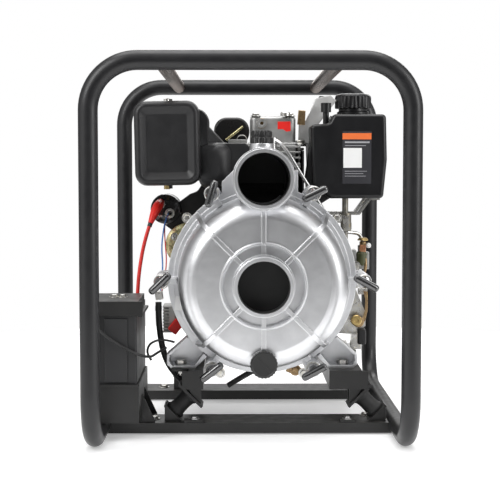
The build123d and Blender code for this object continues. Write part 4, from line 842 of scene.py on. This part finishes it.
# ---- starter, solenoid and wiring ----------------------------------------------------------------
SOLENOID = (-139, 343)
STARTER = (-102, 283)
lathe(
    "solenoid_cap", ((2, 3.4), (17, 3.4), (19, 2.6), (24.4, 2), (25.4, -1), (25.6, -8)),
    (SOLENOID[0], 44, SOLENOID[1]), "gloss_black", FRONT, segments=72,
)
for post_number, (post_x, post_z) in enumerate(((-148, 352), (-132, 336))):
    post_mesh = bmesh.new()
    add_bolt(post_mesh, (post_x, 40, post_z), FRONT, across=10, height=5)
    add_lathe(post_mesh, ((1, 0), (3.9, 0), (3.9, 13), (3.2, 14)), (post_x, 44, post_z), FRONT)
    publish(f"solenoid_post_{post_number}", post_mesh, "zinc_steel", bevel=0.2)
block("spade_terminal", (-150, 34, 330), (-144, 42, 333), "zinc_steel", bevel=0.3)
lathe(
    "starter_end", ((4, 7), (11, 7), (12, 4), (30, 3.4), (33, 2), (36.6, 1), (37.3, -1), (37.3, -16)),
    (STARTER[0], 38.2, STARTER[1]), "yellow_zinc", FRONT, segments=72,
)
through_bolts = [(STARTER[0] + x, 35.2, STARTER[1] + z) for x, z in ((-22, 14), (22, -14))]
bolts("starter_through_bolts", through_bolts, FRONT, across=8, height=4)
rod(
    "terminal_boot",
    [(-147, 38, 354), (-148.5, 26, 351.5), (-150.5, 10, 348), (-155, -3, 338), (-161, -13, 321)],
    4, "red_boot", radii=[3.2, 4.0, 4.2, 3.6, 2.0],
)
rod("boot_band", [(-160.4, -12, 323), (-162.4, -14.6, 316)], 7.6, "black_sleeve", smooth=False)
cable("sense_wire", SENSE_ROUTE, 2, "red_cable", None)
block("regulator_plug", (-129, -12, 140), (-112, -1, 162), "red_plastic", bevel=2.2, turn=-38)
block("harness_connector", (-151, -54, 200), (-139, -42, 214), "zinc_steel", bevel=1.2, turn=8)
rod("harness_tape", [(-146, -48.2, 190), (-146, -48.6, 182)], 10.8, "black_sleeve", smooth=False)


# ---- battery, starter shield and fin cowl ---------------------------------------------------------
battery_low = box_mm("battery")[0]
hold_low, hold_high = box_mm("battery_hold_down")
hold_down_places = [(-209, -132, hold_high.z - 0.2), (-196, -132, hold_high.z - 0.2)]
bolts("hold_down_bolts", hold_down_places, UP, across=10, height=5)
battery_face = bmesh.new()
add_block(
    battery_face, (battery_low.x + 22, battery_low.y - 3, 90), (battery_low.x + 56, battery_low.y + 1, 186),
)
add_block(
    battery_face, (battery_low.x + 2, battery_low.y - 1.2, 88),
    (battery_low.x + 16, battery_low.y + 1, 186),
)
publish("battery_face_panel", battery_face, "battery_case", bevel=1.2)
block(
    "hold_down_lip", (hold_low.x - 1, hold_low.y - 3.2, 191),
    (hold_high.x + 7, hold_low.y - 0.4, hold_high.z + 0.4), "bed_black", bevel=0.8,
)
block(
    "hold_down_end", (hold_high.x - 0.5, hold_low.y - 2.5, 189), (hold_high.x + 6.5, hold_high.y, 193),
    "bed_black", bevel=0.8,
)
block("tray_seam", (-243, -199.4, 84), (-166, -198.4, 87.2), "bed_black", bevel=0.4)
cable("branch_wire", BRANCH_ROUTE, 3.6, "black_sleeve", None)
prism(
    "starter_shield",
    ((-118, 354), (-99, 368), (-86, 373), (-76, 389), (-58, 386), (-67, 345), (-92, 331), (-111, 319)),
    60, 72, "sheet_black", bevel=3,
)
prism(
    "fin_cowl", ((-40, 398), (-6, 398), (2, 410), (2, 446), (-6, 452), (-40, 452)), -20, -14, "sheet_black",
    bevel=2,
)


# ---- speed lever, injection pump and controls ----------------------------------------------------
speed_low = box_mm("speed_lever")[0]
speed_mesh = bmesh.new()
add_lathe(
    speed_mesh, ((3, 0), (8.6, 0), (9.2, 1), (9.2, 3.6), (8.4, 4.4), (5, 4.6), (4.6, 6.6), (0.5, 7)),
    (181, speed_low.y + 9, 158), FRONT,
)
add_prism(
    speed_mesh,
    (
        (186, 152), (192, 160), (196, 176), (196.5, 196), (193, 209), (189, 208.5), (192, 196),
        (191.4, 177), (188, 164), (180, 158),
    ),
    speed_low.y + 5, speed_low.y + 8,
)
publish("speed_lever_plate", speed_mesh, "bronze", "speed_lever", bevel=0.5, node="speed_lever")

lathe("primer_knob", ((2, 0), (8.6, 0), (9, 1.5), (7, 4), (2.6, 5)), (189, 10, 292), "brass_fitting")
lathe("primer_stem", ((3.4, 0), (3.4, 8), (5.6, 9), (5.6, 16), (3, 17)), (189, 10, 274), "bronze")
block("primer_block", (183, 4, 273), (193.5, 16, 285), "copper", bevel=1.4)
lathe(
    "link_ball", ((0.5, 0), (3.2, 1), (4.4, 4), (3.2, 7), (0.5, 8)), (197.5, 6, 284), "sticker_white",
    FRONT,
)
lathe(
    "governor_body", ((6, 0), (9, 1.5), (9.4, 8), (8.2, 15), (9.6, 20), (6, 24)), (187, 10, 250),
    "olive_paint",
)
rod("governor_rod", [(193, 6, 262), (193.5, 2, 248), (190, 0, 238), (189, 0, 226)], 5, "bronze")
rod("stop_link", [(195, 0, 208), (196, -1, 192), (193, -2, 172), (187, -2, 152)], 2.2, "brass_fitting")
lathe(
    "idle_screw", ((3, 0), (8.4, 0), (9, 1.2), (9, 6), (7.6, 7.4), (3.5, 7.6), (3, 6.4), (0.5, 6.4)),
    (177, -4, 161), "brass_fitting", FRONT,
)
block("pump_clip", (181, 0, 203), (196, 12, 213), "zinc_steel", bevel=1.2)
block("fuel_cut_coil", (180, -4, 120), (194, 14, 146), "housing_plastic", bevel=3)
bolts("injection_flange_bolts", [(176, -2, 250), (176, -2, 222), (150, -2, 250)], FRONT, across=10)
lathe("fuel_filter_bowl", ((4, 0), (7.5, 1), (8.6, 4), (8.6, 14), (6, 16)), (160, -6, 308), "dull_steel")


# ---- mounts, pads, bolts and welds of the frame --------------------------------------------------
MOUNT_ROWS = (-108, 181)
MOUNT_MIDDLE_X, MOUNT_REACH, MOUNT_FOOT_Z, MOUNT_LENGTH = 40, 158, 31, 35
mount_mesh = bmesh.new()
for side in (-1, 1):
    for row_y in MOUNT_ROWS:
        foot = (MOUNT_MIDDLE_X + side * MOUNT_REACH, row_y, MOUNT_FOOT_Z)
        profile = (
            (4.2, 0), (14.6, 0), (15.2, 1.2), (15.2, 4), (13.4, 6), (12.6, 11), (12.3, 17.5), (12.6, 24),
            (13.4, 29), (15.2, 31), (15.2, MOUNT_LENGTH - 1.2), (14.6, MOUNT_LENGTH), (4.2, MOUNT_LENGTH),
        )
        add_lathe(mount_mesh, profile, foot, (-side, 0, 1), segments=64)
publish("mount_sleeves", mount_mesh, "mount_rubber", node="rubber_mounts", sharp=50)
for pad_number, (pad_left, pad_right) in enumerate(((-102, -71), (140, 165))):
    block(
        f"pad_{pad_number}", (pad_left, -142, CROSS_TOP - 1), (pad_right, -120, CROSS_TOP + 4), "bed_black",
        bevel=1,
    )
bolts(
    "pad_bolts", [(-86, -131, CROSS_TOP + 3.8), (152, -131, CROSS_TOP + 3.8)], UP, "machined_steel",
    across=10, height=4,
)
cross_places = ((-150, -110), (-151, 181), (185, -84), (185, 205))
bolts("crossmember_bolts", [(x, y, CROSS_TOP - 0.3) for x, y in cross_places], UP, across=12, height=5)


def add_weld(mesh, centre, axis, radius, width=3.0):
    """A rippled weld bead round a tube."""
    turn = Vector((0, 0, 1)).rotation_difference(Vector(axis)).to_matrix()
    rings = []
    for step in range(72):
        angle = 2 * pi * step / 72
        swell = 1 + 0.25 * sin(step * 2.1) + 0.12 * sin(step * 5.3)
        ring = []
        for corner in range(6):
            around = 2 * pi * corner / 6
            reach = radius + 0.7 * swell * cos(around)
            rise = 0.5 * width * swell * sin(around)
            ring.append(Vector(centre) + turn @ Vector((reach * cos(angle), reach * sin(angle), rise)))
        rings.append(add_ring(mesh, ring))
    for first, second in zip(rings, rings[1:] + rings[:1]):
        join_rings(mesh, first, second)


rail_x = box_mm("front_hoop")[1].x - RAIL_RADIUS
weld_mesh = bmesh.new()
for side in (-1, 1):
    add_weld(weld_mesh, (side * rail_x, -10, RAIL_RADIUS), BACK, 13.2)
publish("rail_welds", weld_mesh, "frame_black")
rod("breather_hose", [(12, -30, 84), (-4, -34, 76), (-22, -38, 66), (-34, -36, 58)], 9, "black_sleeve")


# ---- rear: recoil starter, shroud and crankcase bolts ---------------------------------------------
recoil_low, recoil_high = box_mm("recoil_housing")
VENT_COUNT, VENT_CIRCLE_R, RECOIL_BOLT_R, SHROUD_BOLT_R = 18, 52, 84, 120
# Painted shade: the vent slits are near-black slabs laid on the housing, standing in for the shade seen
# through the openings.
vent_mesh = bmesh.new()
for vent in range(VENT_COUNT):
    angle = 2 * pi * vent / VENT_COUNT
    x, z = AXIS_X + VENT_CIRCLE_R * cos(angle), AXIS_Z + VENT_CIRCLE_R * sin(angle)
    turn = Matrix.Translation((x, recoil_high.y - 0.4, z)) @ Matrix.Rotation(-angle, 4, "Y")
    slit = turn @ Matrix.Diagonal((26, 1.4, 5, 1))
    bmesh.ops.create_cube(vent_mesh, size=1, matrix=slit)
publish("recoil_vents", vent_mesh, "vent_shade_black", bevel=0.5)
lathe(
    "recoil_hub", ((0.5, -1.2), (16, -1), (17.5, -0.4), (18, 1)), (AXIS_X, recoil_high.y - 1.4, AXIS_Z),
    "sheet_black", FRONT,
)
shroud_bolts = [
    (
        AXIS_X + SHROUD_BOLT_R * cos(radians(angle)), SHROUD_BACK_Y - 0.3,
        AXIS_Z + SHROUD_BOLT_R * sin(radians(angle)),
    )
    for angle in range(0, 360, 45)
]
bolts("shroud_bolts", shroud_bolts, BACK, across=10, height=4)
for case_side, case_x in zip((-1, 1), CASE_X):
    side_bolts = [(case_x - 0.3 * case_side, 100, level) for level in (140, 185, 230, 275)]
    side_name = "left" if case_side < 0 else "right"
    bolts(f"crankcase_bolts_{side_name}", side_bolts, (case_side, 0, 0), across=10, height=5)
recoil_bolts = [
    (
        AXIS_X + RECOIL_BOLT_R * cos(radians(angle)), recoil_low.y + 6,
        AXIS_Z + RECOIL_BOLT_R * sin(radians(angle)),
    )
    for angle in (60, 180, 300)
]
bolts("recoil_bolts", recoil_bolts, BACK, across=8, height=4)


# ---- studio --------------------------------------------------------------------------------------
LAMP_TARGET = Vector((0, 0, 0.3))
FLOOR_RADIUS, FLOOR_DROP = 1.25, 0.0002
ROOM_STRENGTH = 0.62


def studio_floor():
    """A pale round floor."""
    grid = bmesh.new()
    bmesh.ops.create_circle(grid, cap_ends=True, segments=96, radius=FLOOR_RADIUS)
    data = bpy.data.meshes.new("floor")
    grid.to_mesh(data)
    grid.free()
    surface = Surface("floor", 0.85, Emission_Color=(1, 1, 1, 1), Emission_Strength=0.3)
    surface.colour(surface.blend(surface.noise(3, 3), (0.86, 0.86, 0.86), (0.88, 0.88, 0.88)))
    data.materials.append(surface.material)
    floor = bpy.data.objects.new("floor", data)
    floor.location.z = CAD_BOX[0][2] - FLOOR_DROP
    bpy.context.scene.collection.objects.link(floor)


def softbox(name, place, width, height, power):
    """A rectangular lamp aimed at the middle of the object."""
    data = bpy.data.lights.new(name, "AREA")
    data.shape = "RECTANGLE"
    data.size = width
    data.size_y = height
    data.energy = power
    lamp = bpy.data.objects.new(name, data)
    lamp.location = place
    lamp.rotation_euler = (LAMP_TARGET - Vector(place)).to_track_quat("-Z", "Y").to_euler()
    bpy.context.scene.collection.objects.link(lamp)


def studio_world():
    """White behind the object, and for light and reflections a dark room in front with bright sides."""
    world = bpy.data.worlds.new("studio")
    world.use_nodes = True
    nodes, links = world.node_tree.nodes, world.node_tree.links
    room = nodes["Background"]
    split = nodes.new("ShaderNodeSeparateXYZ")
    links.new(nodes.new("ShaderNodeTexCoord").outputs["Generated"], split.inputs[0])
    forward = nodes.new("ShaderNodeMapRange")
    forward.inputs["From Min"].default_value = -1
    links.new(split.outputs["Y"], forward.inputs["Value"])
    ramp = nodes.new("ShaderNodeValToRGB")
    links.new(forward.outputs["Result"], ramp.inputs["Fac"])
    levels = ((0.0, 0.22), (0.07, 0.34), (0.22, 1.5), (0.44, 1.5), (0.62, 0.45), (1.0, 0.42))
    while len(ramp.color_ramp.elements) < len(levels):
        ramp.color_ramp.elements.new(0.5)
    for element, (position, level) in zip(ramp.color_ramp.elements, levels):
        element.position = position
        element.color = (level, level, level, 1)
    links.new(ramp.outputs["Color"], room.inputs["Color"])
    room.inputs["Strength"].default_value = ROOM_STRENGTH
    backdrop = nodes.new("ShaderNodeBackground")
    backdrop.inputs["Color"].default_value = (1, 1, 1, 1)
    mix = nodes.new("ShaderNodeMixShader")
    links.new(nodes.new("ShaderNodeLightPath").outputs["Is Camera Ray"], mix.inputs["Fac"])
    links.new(room.outputs[0], mix.inputs[1])
    links.new(backdrop.outputs[0], mix.inputs[2])
    links.new(mix.outputs[0], nodes["World Output"].inputs["Surface"])
    bpy.context.scene.world = world


studio_floor()
studio_world()
bpy.context.scene.view_settings.view_transform = "Standard"
softbox("key", (-1.5, -1.5, 1.6), 0.9, 1.3, 26)
softbox("fill", (1.7, -1.1, 1.0), 0.7, 1.4, 14)
softbox("top", (0, 0.0, 2.1), 1.8, 1.4, 26)
softbox("back", (0.4, 1.9, 1.3), 1.8, 1.0, 16)
